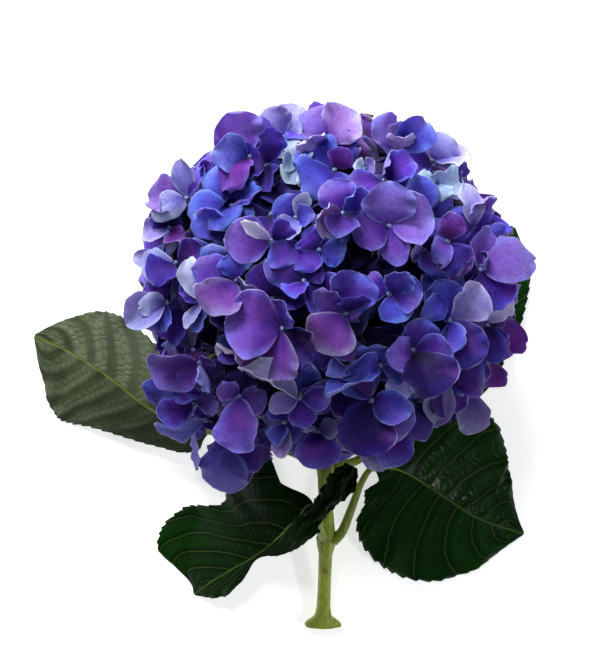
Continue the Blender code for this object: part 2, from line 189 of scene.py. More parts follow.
# A socket's colour from screen steps.
def colour4(colour):
    return (*[float(c) for c in linear(colour)], 1.0)


# Smooth random values of a place, about 0.5, finer with a larger scale.
def noise(place, scale, detail=3.0, roughness=0.55):
    inputs = {"Vector": place, "Scale": scale, "Detail": detail, "Roughness": roughness}
    return addNode(place.tree, "ShaderNodeTexNoise", inputs, "Fac")


# A material with its node tree and its main shader.
def newMaterial(name):
    material = bpy.data.materials.new(name)
    material.use_nodes = True
    return material, material.node_tree, material.node_tree.nodes["Principled BSDF"]


# A surface direction tilted by how fast the height changes.
def bump(height, strength, distance):
    inputs = {"Height": height, "Strength": strength, "Distance": distance}
    return addNode(height.tree, "ShaderNodeBump", inputs, "Normal")


sepalSurface = {
    "veins": 17.0,  # the more, the closer they fan out
    "fineVeins": 43.0,
    "wander": 0.22,
    "veinShow": 0.38,
    "shader": {
        "Roughness": 0.62,
        "Specular IOR Level": 0.12,
        "Subsurface Weight": 0.25,
        "Subsurface Radius": (0.9, 0.5, 1.0),
        "Subsurface Scale": 0.0014,
        "Sheen Weight": 0.06,
        "Sheen Roughness": 0.4,
        "Sheen Tint": (0.8, 0.8, 1.0, 1.0),
    },
}


# Colour from each sepal's own tint, which carries the painted shade and painted light set in floretPieces;
# veins where the sine of side / (height + a little) is near 0, so that they fan out from the claw; a
# second, finer fan further out; a pale thin margin, which is a painted highlight; fine mottling.
def sepalMaterial():
    material, tree, shader = newMaterial("sepal")
    place, across, height = coordinates(tree)
    tint, edge = pointValue(tree, "tint", "Color"), pointValue(tree, "edge")
    grain = noise(place, 260.0, 4.0, 0.65)
    fine = noise(place, 1500.0, 2.0)
    broad = noise(place, 75.0, 3.0)
    mottle = noise(place, 800.0, 3.0, 0.6)
    fan = (across - 0.5) / (height + 0.12) + (grain - 0.5) * sepalSurface["wander"]
    vein = ramp((fan * sepalSurface["veins"]).sine().absolute(), 0.0, 0.18, 1.0, 0.0)
    small = ramp((fan * sepalSurface["fineVeins"]).sine().absolute(), 0.0, 0.3, 0.45, 0.0)
    small = small * ramp(height, 0.25, 0.6)
    vein = vein.maths("MAXIMUM", small) * ramp(edge, 0.5, 0.95, 1.0, 0.1)
    vein = vein * ramp(partOf(tint, 2), 0.01, 0.2, 0.1, 1.0)
    layers = (
        (vein * sepalSurface["veinShow"], (92, 84, 134), "SCREEN"),
        (vein * ramp(height, 0.05, 0.26, 0.4, 0.0), (176, 168, 226), "MIX"),
        (ramp(grain, 0.35, 0.75, 0.0, 0.3), (70, 50, 150), "SOFT_LIGHT"),
        (ramp(mottle, 0.35, 0.65, 0.0, 0.5), (188, 186, 196), "SOFT_LIGHT"),
        (ramp(mottle, 0.55, 0.3, 0.0, 0.4), (70, 66, 90), "SOFT_LIGHT"),
        (ramp(broad, 0.5, 0.75, 0.0, 0.16), (150, 76, 176), "MIX"),
        # Painted highlight: a pale thin line along the margin, where light would catch the sepal's edge.
        (ramp(edge, 0.9, 1.0) * ramp(broad, 0.42, 0.66, 0.03, 0.45), (160, 168, 218), "MIX"),
    )
    shade = tint
    for amount, colour, way in layers:
        shade = blendColour(amount, shade, colour4(colour), way)
    setInputs(shader, sepalSurface["shader"])
    relief = fine * 0.3 + grain - vein * 0.6
    setInputs(shader, {"Base Color": shade, "Normal": bump(relief, 0.6, 0.0005)})
    return material


# Two blues in small patches.
def beadMaterial():
    material, tree, shader = newMaterial("bead")
    patches = ramp(noise(coordinates(tree)[0], 600.0), 0.35, 0.65)
    shade = blendColour(patches, colour4((34, 44, 116)), colour4((112, 132, 168)))
    setInputs(shader, {"Base Color": shade, "Roughness": 0.45})
    return material


# Green bark with streaks along the stalk, darker specks and a slight wax sheen.
def stalkMaterial(name, pale, dark, spots):
    material, tree, shader = newMaterial(name)
    pale, dark, spots = colour4(pale), colour4(dark), colour4(spots)
    place = coordinates(tree)[0]
    stretched = addNode(tree, "ShaderNodeMapping", {"Vector": place, "Scale": (1.0, 0.12, 1.0)}, 0)
    streak = noise(stretched, 700.0, 4.0)
    broad = noise(place, 45.0, 2.0)
    speck = addNode(tree, "ShaderNodeTexVoronoi", {"Vector": stretched, "Scale": 420.0}, "Distance")
    dots = ramp(speck, 0.12, 0.24, 1.0, 0.0) * ramp(broad, 0.45, 0.6)
    shade = blendColour(ramp(streak, 0.3, 0.7), dark, pale)
    shade = blendColour(ramp(broad, 0.4, 0.7, 0.0, 0.5), shade, dark)
    shade = blendColour(dots * 0.8, shade, spots)
    shade = blendColour(pointValue(tree, "scar") * 0.85, shade, spots)
    setInputs(shader, {"Base Color": shade, "Normal": bump(streak + dots * 0.6, 0.5, 0.0004)})
    setInputs(shader, {"Roughness": 0.42, "Subsurface Weight": 0.1, "Subsurface Scale": 0.002})
    return material


# Veins from the leaf's own coordinates: x runs from midrib to margin and y from base to tip. Side
# veins are lines of y - forward x; ladders of cross veins join them; the blade puffs up between them, and
# the puffs are painted lighter than the grooves, as painted light and shade; the blade is painted darker
# towards its base, as painted shadow.
def leafMaterial(name, look):
    material, tree, shader = newMaterial(name)
    place, across, y = coordinates(tree)
    reach = pointValue(tree, "reach")
    signed = (across - 0.5) * 2.0
    x = signed.absolute()
    line = y - x.maths("POWER", blade["bow"]) * look["forward"] + (noise(place, 55.0, 2.0) - 0.5) * 0.04
    phase = (line + signed.maths("SIGN") * blade["stagger"]) * look["sideVeins"]
    away = (phase.maths("FRACT") - 0.5).absolute()
    sideVein = ramp(away + (x - 1.15) * look["veinWidth"], 0.0, 0.03, 1.0, 0.0)
    midrib = ramp(reach, look["midrib"] * 0.55, look["midrib"], 1.0, 0.0)
    rungs = (y * 70.0 + reach) * (0.75 * math.pi / look["rung"])
    ladder = (rungs + noise(place, 100.0, 2.0) * 9.0 + phase.maths("FLOOR") * 1.3).sine().absolute()
    puff = ramp(away, 0.0, 0.4) * ramp(ladder, 0.0, 1.0, 1 - look["ladder"], 1.0)
    broad = noise(place, 38.0, 3.0)
    # Painted light and shade: the puffs between the veins are painted lighter and the grooves darker, as
    # light falls on the quilting; the broad noise is the blade's own tone.
    light = ramp(puff, 0.0, 1.0, 0.0, 0.6) + ramp(broad, 0.3, 0.7, 0.0, 0.4)
    # Painted shadow: the blade is painted darker towards its base, near the head.
    light = light * ramp(y, 0.1, 0.75, 1 - look["baseShade"], 1.0)
    dark, pale, vein, back = (colour4(look[k]) for k in ("dark", "pale", "vein", "back"))
    front = blendColour(light, dark, pale)
    front = blendColour(ramp(ladder, 0.0, 0.22, look["crossShow"], 0.0), front, vein)
    strong = (sideVein * look["sideShow"]).maths("MAXIMUM", midrib)
    front, back = blendColour(strong, front, vein), blendColour(strong, back, vein)
    relief = (puff + noise(place, 900.0, 2.0) * 0.06) * (midrib * -0.7 + 1.0)
    setInputs(
        shader,
        {
            "Base Color": blendColour(pointValue(tree, "side"), back, front),
            "Normal": bump(relief, 0.7, look["bulge"]),
            "Roughness": ramp(noise(place, 90.0, 3.0), 0.3, 0.7, *look["gloss"]),
            "Specular IOR Level": look["specular"],
        },
    )
    return material


# One object at the origin from arrays: points, a list of face index arrays, and point values.
def makeMesh(name, points, faces, materials, faceMaterial=None, uvs=None, values=None, colours=None):
    mesh = bpy.data.meshes.new(name)
    counts = np.concatenate([np.full(len(f), f.shape[1]) for f in faces])
    corners = np.concatenate([f.ravel() for f in faces]).astype(np.int32)
    starts = np.concatenate([[0], np.cumsum(counts)[:-1]]).astype(np.int32)
    mesh.vertices.add(len(points))
    mesh.vertices.foreach_set("co", np.ascontiguousarray(points, np.float32).ravel())
    mesh.loops.add(len(corners))
    mesh.loops.foreach_set("vertex_index", corners)
    mesh.polygons.add(len(starts))
    mesh.polygons.foreach_set("loop_start", starts)
    mesh.polygons.foreach_set("use_smooth", np.ones(len(starts), bool))
    for material in materials:
        mesh.materials.append(material)
    if faceMaterial is not None:
        mesh.polygons.foreach_set("material_index", np.asarray(faceMaterial, np.int32))
    if uvs is not None:
        layer = mesh.uv_layers.new(name="UVMap")
        layer.data.foreach_set("uv", uvs[corners].astype(np.float32).ravel())
    for key, data in (values or {}).items():
        mesh.attributes.new(key, "FLOAT", "POINT").data.foreach_set("value", data.astype(np.float32))
    for key, data in (colours or {}).items():
        full = np.concatenate([data, np.ones((len(data), 1))], 1).astype(np.float32)
        mesh.attributes.new(key, "FLOAT_COLOR", "POINT").data.foreach_set("color", full.ravel())
    mesh.update(calc_edges=True)
    mesh.validate()
    obj = bpy.data.objects.new(name, mesh)
    bpy.context.scene.collection.objects.link(obj)
    return obj


# Quads of a closed shell: an upper and a lower sheet of rows x columns points that share their rim.
# The lower sheet's inner points follow the upper sheet's points.
def shellIndex(rows, columns):
    upper = np.arange(rows * columns).reshape(rows, columns)
    lower = upper.copy()
    inner = (rows - 2) * (columns - 2)
    lower[1:-1, 1:-1] = rows * columns + np.arange(inner).reshape(rows - 2, columns - 2)
    top = np.stack([upper[:-1, :-1], upper[:-1, 1:], upper[1:, 1:], upper[1:, :-1]], -1).reshape(-1, 4)
    bottom = np.stack([lower[:-1, :-1], lower[1:, :-1], lower[1:, 1:], lower[:-1, 1:]], -1).reshape(-1, 4)
    return np.concatenate([top, bottom])


# The points that shellIndex counts, for sheets of ... x rows x columns x parts.
def shellPoints(upper, lower):
    flat = upper.reshape(*upper.shape[:-3], -1, upper.shape[-1])
    inner = lower[..., 1:-1, 1:-1, :]
    return np.concatenate([flat, inner.reshape(*inner.shape[:-3], -1, inner.shape[-1])], -2)


# Across x along, from differences between neighbouring points.
def sheetNormals(sheet):
    return unit(np.cross(np.gradient(sheet, axis=-2), np.gradient(sheet, axis=-3)))


# Points of a thin shell: half its thickness to each side of its middle sheet.
def shellAround(sheet, half):
    out = sheetNormals(sheet) * half
    return shellPoints(sheet + out, sheet - out)


# One value a point, for both sides of a shell.
def shellValues(upper, lower):
    return shellPoints(upper[..., None], lower[..., None])[..., 0]


# A round profile carried along a path and closed at both ends by a fan: points, quads, triangles.
def tube(path, radii, sides, up=(0.0, 0.0, 1.0)):
    path, radii = np.asarray(path, float), np.broadcast_to(radii, (len(path), 2))
    right, out = sideways(unit(np.gradient(path, axis=0)), up)
    turn = np.linspace(0, 2 * math.pi, sides, endpoint=False)[None, :, None]
    rings = path[:, None] + np.cos(turn) * right[:, None] * radii[:, None, :1]
    rings = rings + np.sin(turn) * out[:, None] * radii[:, None, 1:]
    count = len(path)
    index = np.arange(count * sides).reshape(count, sides)
    after = np.roll(index, -1, 1)
    quads = np.stack([index[:-1], after[:-1], after[1:], index[1:]], -1).reshape(-1, 4)
    first, last = count * sides, count * sides + 1
    ends = np.concatenate(
        [
            np.stack([after[0], index[0], np.full(sides, first)], -1),
            np.stack([index[-1], after[-1], np.full(sides, last)], -1),
        ]
    )
    return np.concatenate([rings.reshape(-1, 3), path[:1], path[-1:]]), quads, ends


# Catmull-Rom curve between b and c at the share t of the way, with neighbours a and d.
def catmull(a, b, c, d, t):
    return 0.5 * (2 * b + (c - a) * t + (2 * a - 5 * b + 4 * c - d) * t**2 + (3 * b - a - 3 * c + d) * t**3)


# Evenly spaced points of the Catmull-Rom curve through the given ones.
def smoothLine(points, count):
    knots = np.asarray(points, float)
    padded = np.vstack([2 * knots[0] - knots[1], knots, 2 * knots[-1] - knots[-2]])
    t = np.linspace(0, 1, 24, endpoint=False)[:, None]
    a, b, c, d = (padded[k : len(padded) - 3 + k, None] for k in range(4))
    dense = np.vstack([catmull(a, b, c, d, t).reshape(-1, 3), knots[-1:]])
    along = np.concatenate([[0], np.cumsum(np.linalg.norm(np.diff(dense, axis=0), axis=1))])
    return between(np.linspace(0, along[-1], count), along, dense)


# Screen colours of a sepal: at its claw, in its middle, near its margin, and its underside. The darkest, d,
# n
# and s, are in part painted shade: darker copies of the violets and blues, for sepals that lie in shade.
tones = {
    "v": ((28, 0, 88), (72, 38, 144), (82, 88, 184), (114, 114, 192)),
    "b": ((36, 16, 120), (60, 60, 162), (84, 106, 190), (124, 134, 196)),
    "c": ((52, 50, 140), (86, 92, 180), (112, 130, 202), (140, 148, 210)),
    "d": ((18, 0, 66), (42, 18, 110), (52, 50, 144), (76, 74, 158)),
    "n": ((12, 0, 42), (28, 6, 78), (42, 30, 108), (62, 52, 138)),
    "m": ((46, 2, 72), (82, 28, 118), (92, 62, 148), (118, 92, 168)),
    "p": ((50, 10, 112), (92, 56, 152), (102, 98, 182), (144, 136, 198)),
    "u": ((80, 48, 140), (106, 84, 162), (116, 112, 182), (148, 144, 196)),
    "r": ((84, 46, 130), (124, 98, 160), (136, 130, 178), (158, 152, 194)),
    "l": ((84, 76, 156), (124, 122, 180), (150, 156, 194), (170, 172, 202)),
    "w": ((126, 124, 184), (162, 160, 198), (186, 188, 212), (188, 190, 212)),
    "g": ((100, 126, 170), (136, 156, 186), (158, 176, 198), (152, 170, 198)),
    "k": ((56, 12, 112), (92, 46, 130), (110, 106, 148), (150, 142, 184)),
    "h": ((84, 84, 190), (108, 114, 212), (126, 138, 224), (140, 150, 224)),
    "s": ((24, 24, 84), (42, 48, 126), (62, 84, 156), (98, 114, 170)),
}

# Florets that show most. Each has its middle as it is seen, its lift above the head's surface, and its
# sepals: tone, tip from the middle (right, up, towards the eye), width, and where they aren't 0 its roll
# in degrees and its arch. All lengths are in millimetres.
showFlorets = [
    (-36, 59, 2, [("u", -10, 20, 3, 18, 0, 1), ("p", 5, 19, 2, 13, 40), ("c", -18, 3, 6, 16, -55),
        ("m", -12, -13, 8, 18, 10)]),
    (-28, 55, -2, [("d", 2, 17, 6, 14, 50), ("d", 3, -12, 8, 14, 40), ("s", 8, 4, -6, 14)]),
    (0, 65, 2, [("u", -12, 14, 4, 18, 0, 2), ("r", 14, 14, 3, 20, 0, 2), ("l", -14, -3, 10, 17, -65),
        ("v", 14, 0, 8, 15, 60)]),
    (-10, 74, 0, [("u", -9, 5, 2, 15, -15, 1), ("p", 11, 5, 0, 15, 15, 1), ("v", 0, -10, 12, 16)]),
    (-20, 68, -2, [("g", 0, -10, 8, 14, 20), ("l", -9, 13, 2, 18, -15), ("l", 6, 15, 2, 18, 15)]),
    (-13, 54, -2, [("g", -8, 5, 3, 10), ("g", 8, 5, 3, 10), ("g", 7, -7, 3, 10), ("g", -7, -6, 3, 10)]),
    (3, 53, -2, [("b", -15, -9, 5, 18, 0, 1), ("b", 2, -14, 5, 18, 0, 1), ("m", 6, 10, 3, 16, 30)]),
    (17, 53, 0, [("g", -5, 3, 2, 9), ("l", 5, 4, 2, 9), ("g", 4, -5, 2, 9), ("l", -4, -5, 2, 9)]),
    (26, 48, 0, [("p", 0, 13, 6, 14, 65), ("v", 9, -6, 2, 14)]),
    (31, 62, 2, [("u", -12, 13, 2, 16, 0, 2), ("r", 4, 6, 10, 12, -40), ("r", 7, 13, 3, 13, 30),
        ("b", 14, 14, 0, 16, 30)]),
    (48, 57, 0, [("l", 8, 12, 3, 17, 0, 1), ("l", 18, 1, 0, 14, -20), ("d", 18, -9, -2, 14, -40)]),
    (50, 47, 2, [("g", -9, 1, 4, 12, 0, 1), ("g", 3, -8, 4, 10), ("g", 0, 6, 3, 9)]),
    (58, 47, -2, [("l", 4, 3, 2, 9, 20), ("l", 1, -8, 3, 9, 20)]),
    (-15, 31, 3, [("b", -9, 8, 4, 15, 0, 1), ("g", 5, 12, 3, 7, 30), ("b", 8, 2, 4, 12, 0, 1),
        ("l", -5, -6, 6, 12)]),
    (-26, 20, 4, [("p", -22, 1, 3, 17, -10, 1), ("w", -13, 10, 5, 7, -50), ("v", 10, -10, 2, 16, 0, 1),
        ("d", 8, 9, 0, 14, 30)]),
    (7, 33, 5, [("p", -6, 15, 3, 17, 0, 1), ("b", 8, 13, 3, 14, 50), ("r", -14, -3, 5, 15, -40),
        ("p", -3, -12, 6, 17, 0, 1)]),
    (-4, 16, -2, [("v", -8, 9, 2, 15, 0, 1), ("b", 12, -2, 2, 16, 0, 1), ("v", -10, -9, 3, 15, 0, 1)]),
    (28, 27, 6, [("u", 0, 21, 4, 27, 0, 2), ("u", 21, 4, 2, 22, 0, 1), ("p", -16, -3, 4, 19, 0, 2),
        ("p", 5, -18, 5, 11, 20)]),
    (44, 16, 0, [("l", -7, -1, 4, 10, -30)]),
    (55, 20, 4, [("p", -5, -11, 8, 10, 35), ("d", 7, -13, 4, 14, 20), ("m", 3, 13, 3, 13),
        ("m", 2, -18, 4, 16)]),
    (66, 16, -3, [("s", 3, -9, 4, 16, 60)]),
    (67, 26, 0, [("l", -2, 20, 3, 12, 20), ("p", 5, 15, 0, 14, 50)]),
    (70, 7, 2, [("p", 5, 20, 0, 14, 20), ("u", 25, 5, -6, 20, -20, 2), ("d", 12, -17, 2, 20, 0, 1)]),
    (28, -4, 3, [("v", 15, 0, 4, 17, 0, 1), ("b", 5, -14, 4, 13, 0, 1), ("b", 8, 11, 4, 14, 20),
        ("v", -12, 4, 3, 15)]),
    (53, -5, 0, [("b", -9, 10, 2, 11)]),
    (-21, -20, 6, [("p", -27, 3, 0, 27, 0, 3), ("v", 1, 13, 8, 16, -30), ("n", 15, -15, 2, 20, 20),
        ("k", -9, -25, -2, 24, 0, 2)]),
    (-42, 2, 2, [("k", -12, -17, 3, 19, 0, 2), ("l", 12, -5, 8, 14, 60, 2), ("b", -3, 11, 5, 14)]),
    (8, -13, 5, [("k", -13, -17, 3, 20, 0, 2), ("p", -15, 8, 4, 13, -30), ("d", 8, 10, 8, 22, 40),
        ("v", 7, 18, -2, 26, 0, 3)]),
    (-11, 2, 0, [("v", -4, -9, 6, 14, 40, 1), ("v", 8, 8, 3, 16, 0, 1)]),
    (24, -37, 4, [("b", -15, -3, 6, 17, 20, 2), ("b", -24, -16, 6, 12, 80, 2), ("b", -6, 9, 6, 12)]),
    (2, -32, 0, [("c", 4, -14, 3, 9, 20)]),
    (20, -53, 4, [("b", 19, -6, 6, 13, -20, 1), ("p", 14, -18, 2, 22, 0, 2), ("n", -8, -25, 0, 22, 0, 3)]),
    (28, -67, -6, [("v", 2, -16, 0, 18, 0, 2), ("l", -8, -17, -6, 18)]),
    (39, -30, 6, [("v", 3, 15, 3, 15, 0, 1), ("v", 16, -4, 3, 18, 0, 1), ("p", -10, -2, 9, 21, 0, 2),
        ("n", 8, -23, 3, 21, 0, 3)]),
    (35, -40, -4, [("l", -3, -13, 3, 11, 20)]),
    (56, -16, 4, [("b", -6, 19, 4, 16, 0, 2), ("l", 15, 16, 0, 17, 20), ("d", 12, -21, 0, 18, 0, 3),
        ("b", 3, -20, 8, 14, 50)]),
    (73, -18, 0, [("w", 12, 13, 4, 13), ("d", 3, -17, 3, 11, 30)]),
    (74, -20, -2, [("m", 5, 9, 0, 13, 0, 1), ("m", 3, -17, 2, 20, 0, 2), ("d", 7, -2, -3, 10, 30)]),
    (75, -33, -4, [("m", -4, -14, 0, 16, 0, 3)]),
    (59, -40, -4, [("s", 5, -9, 2, 12), ("d", -6, -11, 2, 12, 20)]),
    (42, -53, -4, [("s", 2, -19, 0, 11, 20)]),
    (55, -43, -2, [("l", -6, -22, 2, 13, 40), ("d", 2, -17, -2, 16)]),
    (64, -49, -6, [("l", 2, -20, -4, 14, 0, 2)]),
    (-59, -36, 4, [("p", -25, 0, 0, 17, -10, 3), ("v", 6, 3, 4, 10, 30), ("p", -16, -10, 2, 13, 0, 2),
        ("b", 7, -12, 5, 13, 60)]),
    (-72, -41, -6, [("s", -6, -15, 0, 15, 0, 2)]),
    (-61, -55, 2, [("v", -18, -4, 3, 13, 0, 2), ("p", 10, 3, 4, 13, 0, 1)]),
    (-56, -62, -1, [("c", -24, -3, 4, 14, -15, 4), ("d", 10, 6, 0, 14)]),
    (-62, -66, -6, [("c", 3, -19, -4, 10, 30)]),
    (-48, -72, -5, [("h", -1, -24, -4, 22, 0, 3)]),
    (-46, -67, -4, [("d", 0, -10, 4, 14), ("s", -6, 0, 4, 12, -40)]),
    (-41, -51, 3, [("p", -9, 3, 5, 14), ("p", 12, -4, 4, 15), ("p", 5, -26, 0, 19, 10, 2),
        ("n", 2, 12, 3, 20)]),
    (-33, -79, -8, [("l", -6, -15, 0, 4, 40)]),
    (-13, -52, 8, [("w", -30, 13, 11, 13, 62, 5), ("l", -14, -6, 3, 9, 40)]),
    (-20, -63, 0, [("b", -4, -11, 5, 9, 50), ("b", 8, -7, 5, 13), ("l", -1, -17, 2, 8, 30)]),
    (-5, -67, 0, [("l", -8, 2, 4, 9, -40), ("l", 10, 2, 4, 9, -40), ("v", 0, -18, 0, 22, 0, 3)]),
    (-74, -8, 2, [("l", -20, -9, 0, 15, 0, 3), ("l", -12, -2, 6, 10, -30), ("v", -10, 9, 0, 12, 40),
        ("b", -6, -13, 0, 12)]),
    (-70, 10, 2, [("d", -11, -9, 5, 18, 0, 2), ("l", -15, -5, -2, 16, 0, 3), ("l", -20, 3, -6, 8)]),
    (-58, -8, 0, [("w", -7, 20, 3, 10), ("b", 0, -14, 4, 10, 30), ("l", -8, -12, 3, 7, 30),
        ("d", -8, 10, 3, 10, 40)]),
    (-38, -32, -3, [("w", -14, 4, 3, 7, -50), ("v", -13, -2, 2, 6, 50), ("s", -12, 8, -2, 10)]),
    (-65, 40, 2, [("l", -3, 18, 6, 9, 20), ("v", 4, 15, 0, 12), ("u", -18, 1, 0, 15, 0, 3),
        ("l", -14, -7, 5, 10, -40)]),
    (-55, 50, 1, [("d", -3, 6, 4, 10, 40), ("l", 1, -20, 6, 11, 0, 2), ("l", 8, -21, 0, 11)]),
    # These three lie sunk below the others in the darkest tones: real florets, painted as shade in the gaps
    # at the head's left.
    (-66, -10, -9, [("d", -5, 4, 2, 16), ("d", 6, -3, 2, 16)]),
    (-62, -30, -9, [("d", -4, -2, 2, 16), ("d", 5, 4, 2, 15)]),
    (-54, -62, -9, [("d", -2, -4, 0, 14), ("n", 2, 5, 0, 14)]),
    (-73, 26, 2, [("d", -8, 6, 3, 14), ("l", -13, -4, 0, 10, 0, 2), ("m", 6, -6, 4, 13),
        ("n", 3, 7, 2, 14, 30)]),
]

# Sepals: sizes in metres. A pair of values is the range that each sepal's own is drawn from.
sepal = {
    "rowsShown": 17,
    "rowsHidden": 6,
    "from": 0.008,  # v of a sheet's first row
    "span": 0.988,  # from its first row to its last
    "even": 0.35,  # how evenly rows are spaced; 0 crowds them at both ends
    "crowd": 0.94,  # how much columns are crowded at the margins
    "thickness": 0.00034,
    "lowest": 0.0004,  # height of a sepal's middle sheet where it touches the floor
    "length": 0.0215,
    "width": 0.0215,
    "longest": 1.2,  # how wide a sepal may be for its length
    "wider": 1.18,  # of the shown florets, over their listed widths
    "claw": 0.0011,  # from a floret's middle to where its sepals start
    "widest": (0.95, 1.3),  # a: where along its length a sepal is widest
    "blunt": (0.44, 0.64),  # b: how blunt its ends are
    "lean": (-0.12, 0.12),
    "cup": (-0.35, 0.65),
    "fold": (-0.05, 0.5),
    "notch": 0.03,
    "waves": (10, 20),
    "ruffle": 0.0017,
    "tipBend": 0.0038,
    "bend": (-1.2, 0.9),
    "twist": 0.26,
}
# How the head holds its florets.
filling = {
    "toEye": 0.8,  # how much the shown florets turn up from the head's own outward direction
    "usualWidth": 18,  # mean width of a shown floret's listed sepals at which the others are full-size
    "ring": 0.95,  # where on the head's radius a floret is seen at its edge
    "deepShade": 0.17,  # painted shade: how dark the sepals are painted that lie deep inside the head
    "shadeBetween": (0.82, 1.03),  # shares of the head's radius between which that shade fades
    "paintedLightGradient": 0.3,  # painted light and shade: how much lighter the florets are painted at the head's top, and darker at the stem, as light from above falls
    "hiddenReach": 1.04,  # share of the head's radius beyond which hidden sepals are pulled in
    "pulledIn": 0.3,
    "tones": "vvbdvpdbvbdsvm",
    # tones of florets deep inside the head: mostly the darkest, as painted shade in the gaps
    "deepShadeTones": "dvds",
    "front": 0.018,  # height over the head's middle above which the shown florets have their places
    "roomFront": 0.022,
    "roomRound": 0.013,
    "lowest": 0.012,
    "facing": 0.12,  # spread of the shown florets' directions
    "facingRound": 0.16,
    # ranges of the sepals that complete a floret: rise in radians, shares of the usual length and
    # width, roll in degrees, arch in millimetres
    "lifts": (-0.2, 0.2),
    "lengths": (0.92, 1.08),
    "widths": (0.92, 1.12),
    "rolls": (-30, 30),
    "arches": (-1, 3),
    "side": 0.98,  # share of the head's radius past which a shown floret's sepal hangs down instead
    "hanging": 0.8,  # its length for that
    "inwards": 0.35,
}
# Layers of further florets: share of the head's radius, least room to the next one, size, tries.
hiddenLayers = ((0.9, 0.0175, 0.88, 900), (0.77, 0.0165, 1.0, 700), (0.6, 0.018, 1.0, 400))


# The head surface's outward direction: each offset over its radius squared.
def outward(place):
    return unit((place - head["middle"]) / head["radii"] ** 2)


# Middle of a floret that is seen at x, y: on the head's surface, lifted straight up.
def shownPlace(x, y, lift):
    flat = 0.001 * np.array([x, y]) / head["radii"][:2] * filling["ring"]
    height = head["radii"][2] * math.sqrt(max(0.0, 1 - flat @ flat))
    return seen(x, y, height + 0.001 * lift), height + 0.001 * lift


# Two directions at right angles to facing and to each other, from a fixed one.
def planeAxes(facing):
    first = unit(np.cross(facing, [0.31, 0.95, 0.12]))
    return first, np.cross(facing, first)


# Completes a floret to four sepals: each new one goes in the widest gap round its middle, at the
# given rise from level (radians). One that would stand out past the head's side hangs down behind it.
def fillSepals(middle, facing, rows, size, rise, tone):
    first, second = planeAxes(facing)
    taken = [math.atan2((r["tip"] - middle) @ second, (r["tip"] - middle) @ first) for r in rows]
    turn = 2 * math.pi
    while len(rows) < 4:
        if taken:
            ordered = sorted(a % turn for a in taken)
            gaps = [(b - a) % turn or turn for a, b in zip(ordered, ordered[1:] + ordered[:1])]
            widest = int(np.argmax(gaps))
            angle = ordered[widest] + gaps[widest] / 2
        else:
            angle = chance.uniform(0, turn)
        taken.append(angle)
        flat = math.cos(angle) * first + math.sin(angle) * second
        lift = rise + chance.uniform(*filling["lifts"])
        reach = size * sepal["length"] * chance.uniform(*filling["lengths"])
        tip = middle + reach * (math.cos(lift) * flat + math.sin(lift) * facing)
        beyond = (tip - head["middle"])[:2] / head["radii"][:2]
        if rise == 0 and np.linalg.norm(beyond) > filling["side"]:
            down = unit(np.array([*(-filling["inwards"] * beyond), -1.0]))
            tip = middle + filling["hanging"] * reach * down
        width = size * sepal["width"] * chance.uniform(*filling["widths"])
        roll, arch = chance.uniform(*filling["rolls"]), chance.uniform(*filling["arches"])
        rows.append({"tip": tip, "width": width, "tone": tone, "roll": roll, "arch": arch})
    return rows


florets = []


# Notes one floret; a floret that is shown is made of finer sepals.
def addFloret(middle, facing, rows, shown):
    florets.append({"middle": middle, "facing": facing, "rows": rows, "shown": shown})


for x, y, lift, listed in showFlorets:
    middle, height = shownPlace(x, y, lift)
    turned = chance.normal(0, filling["facing"], 3)
    facing = unit(outward(middle) + turned + [0, 0, filling["toEye"]])
    rows = []
    for tone, right, up, rise, width, *turns in listed:
        tip = seen(x + right, y + up, height + 0.001 * rise)
        width = min(sepal["longest"] * np.linalg.norm(tip - middle), 0.001 * width * sepal["wider"])
        roll, arch = (*turns, 0, 0)[:2]
        rows.append({"tip": tip, "width": width, "tone": tone, "roll": roll, "arch": arch})
    size = min(0.95, max(0.55, np.mean([row[4] for row in listed]) / filling["usualWidth"]))
    tone = listed[0][0] if listed[0][0] in "gvbdm" else "v"
    rows = fillSepals(middle, facing, rows, size, 0, tone)
    addFloret(middle, facing, rows, True)
print("shown florets:", len(florets))

# The solid model's other florets, and more between them, over the rest of the head.
solidFlorets = sorted(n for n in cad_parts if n.startswith("floret"))
solidPlaces = {n: np.mean([np.array(c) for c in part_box(n)], 0) for n in solidFlorets}


# How far the nearest floret's middle is.
def roomAt(place):
    return min(np.linalg.norm(place - f["middle"]) for f in florets)


# A floret with a place of its own on the head, with a random tone and a slightly random facing.
def addHidden(place, share, size):
    facing, turned = outward(place), chance.normal(0, filling["facingRound"], 3)
    facing = unit(facing + turned + [0, 0, 0.25 * (1 - abs(facing[2]))])
    tone = filling["tones"][int(chance.integers(len(filling["tones"])))]
    # Painted shade: florets deep inside the head take the dark tones, so the gaps between the outer florets
    # read as shade.
    if share < 0.9:
        tone = filling["deepShadeTones"][int(chance.integers(len(filling["deepShadeTones"])))]
    addFloret(place, facing, fillSepals(place, facing, [], size, 0.2, tone), False)


for name in solidFlorets:
    place = solidPlaces[name]
    inFront = place[2] >= head["middle"][2] + filling["front"]
    if roomAt(place) > filling["roomFront" if inFront else "roomRound"]:
        addHidden(place, 1.0, 1.0)
print("with the solid model's:", len(florets))
golden = math.pi * (3 - math.sqrt(5))
for share, least, size, tries in hiddenLayers:
    for k in range(tries):
        rise = 1 - 2 * (k + 0.5) / tries
        ring = math.sqrt(1 - rise * rise)
        way = np.array([ring * math.cos(golden * k), ring * math.sin(golden * k), rise])
        place = head["middle"] + way * head["radii"] * share
        place[2] = max(place[2], filling["lowest"])
        if roomAt(place) > least:
            addHidden(place, share, size)
print("florets in all:", len(florets))


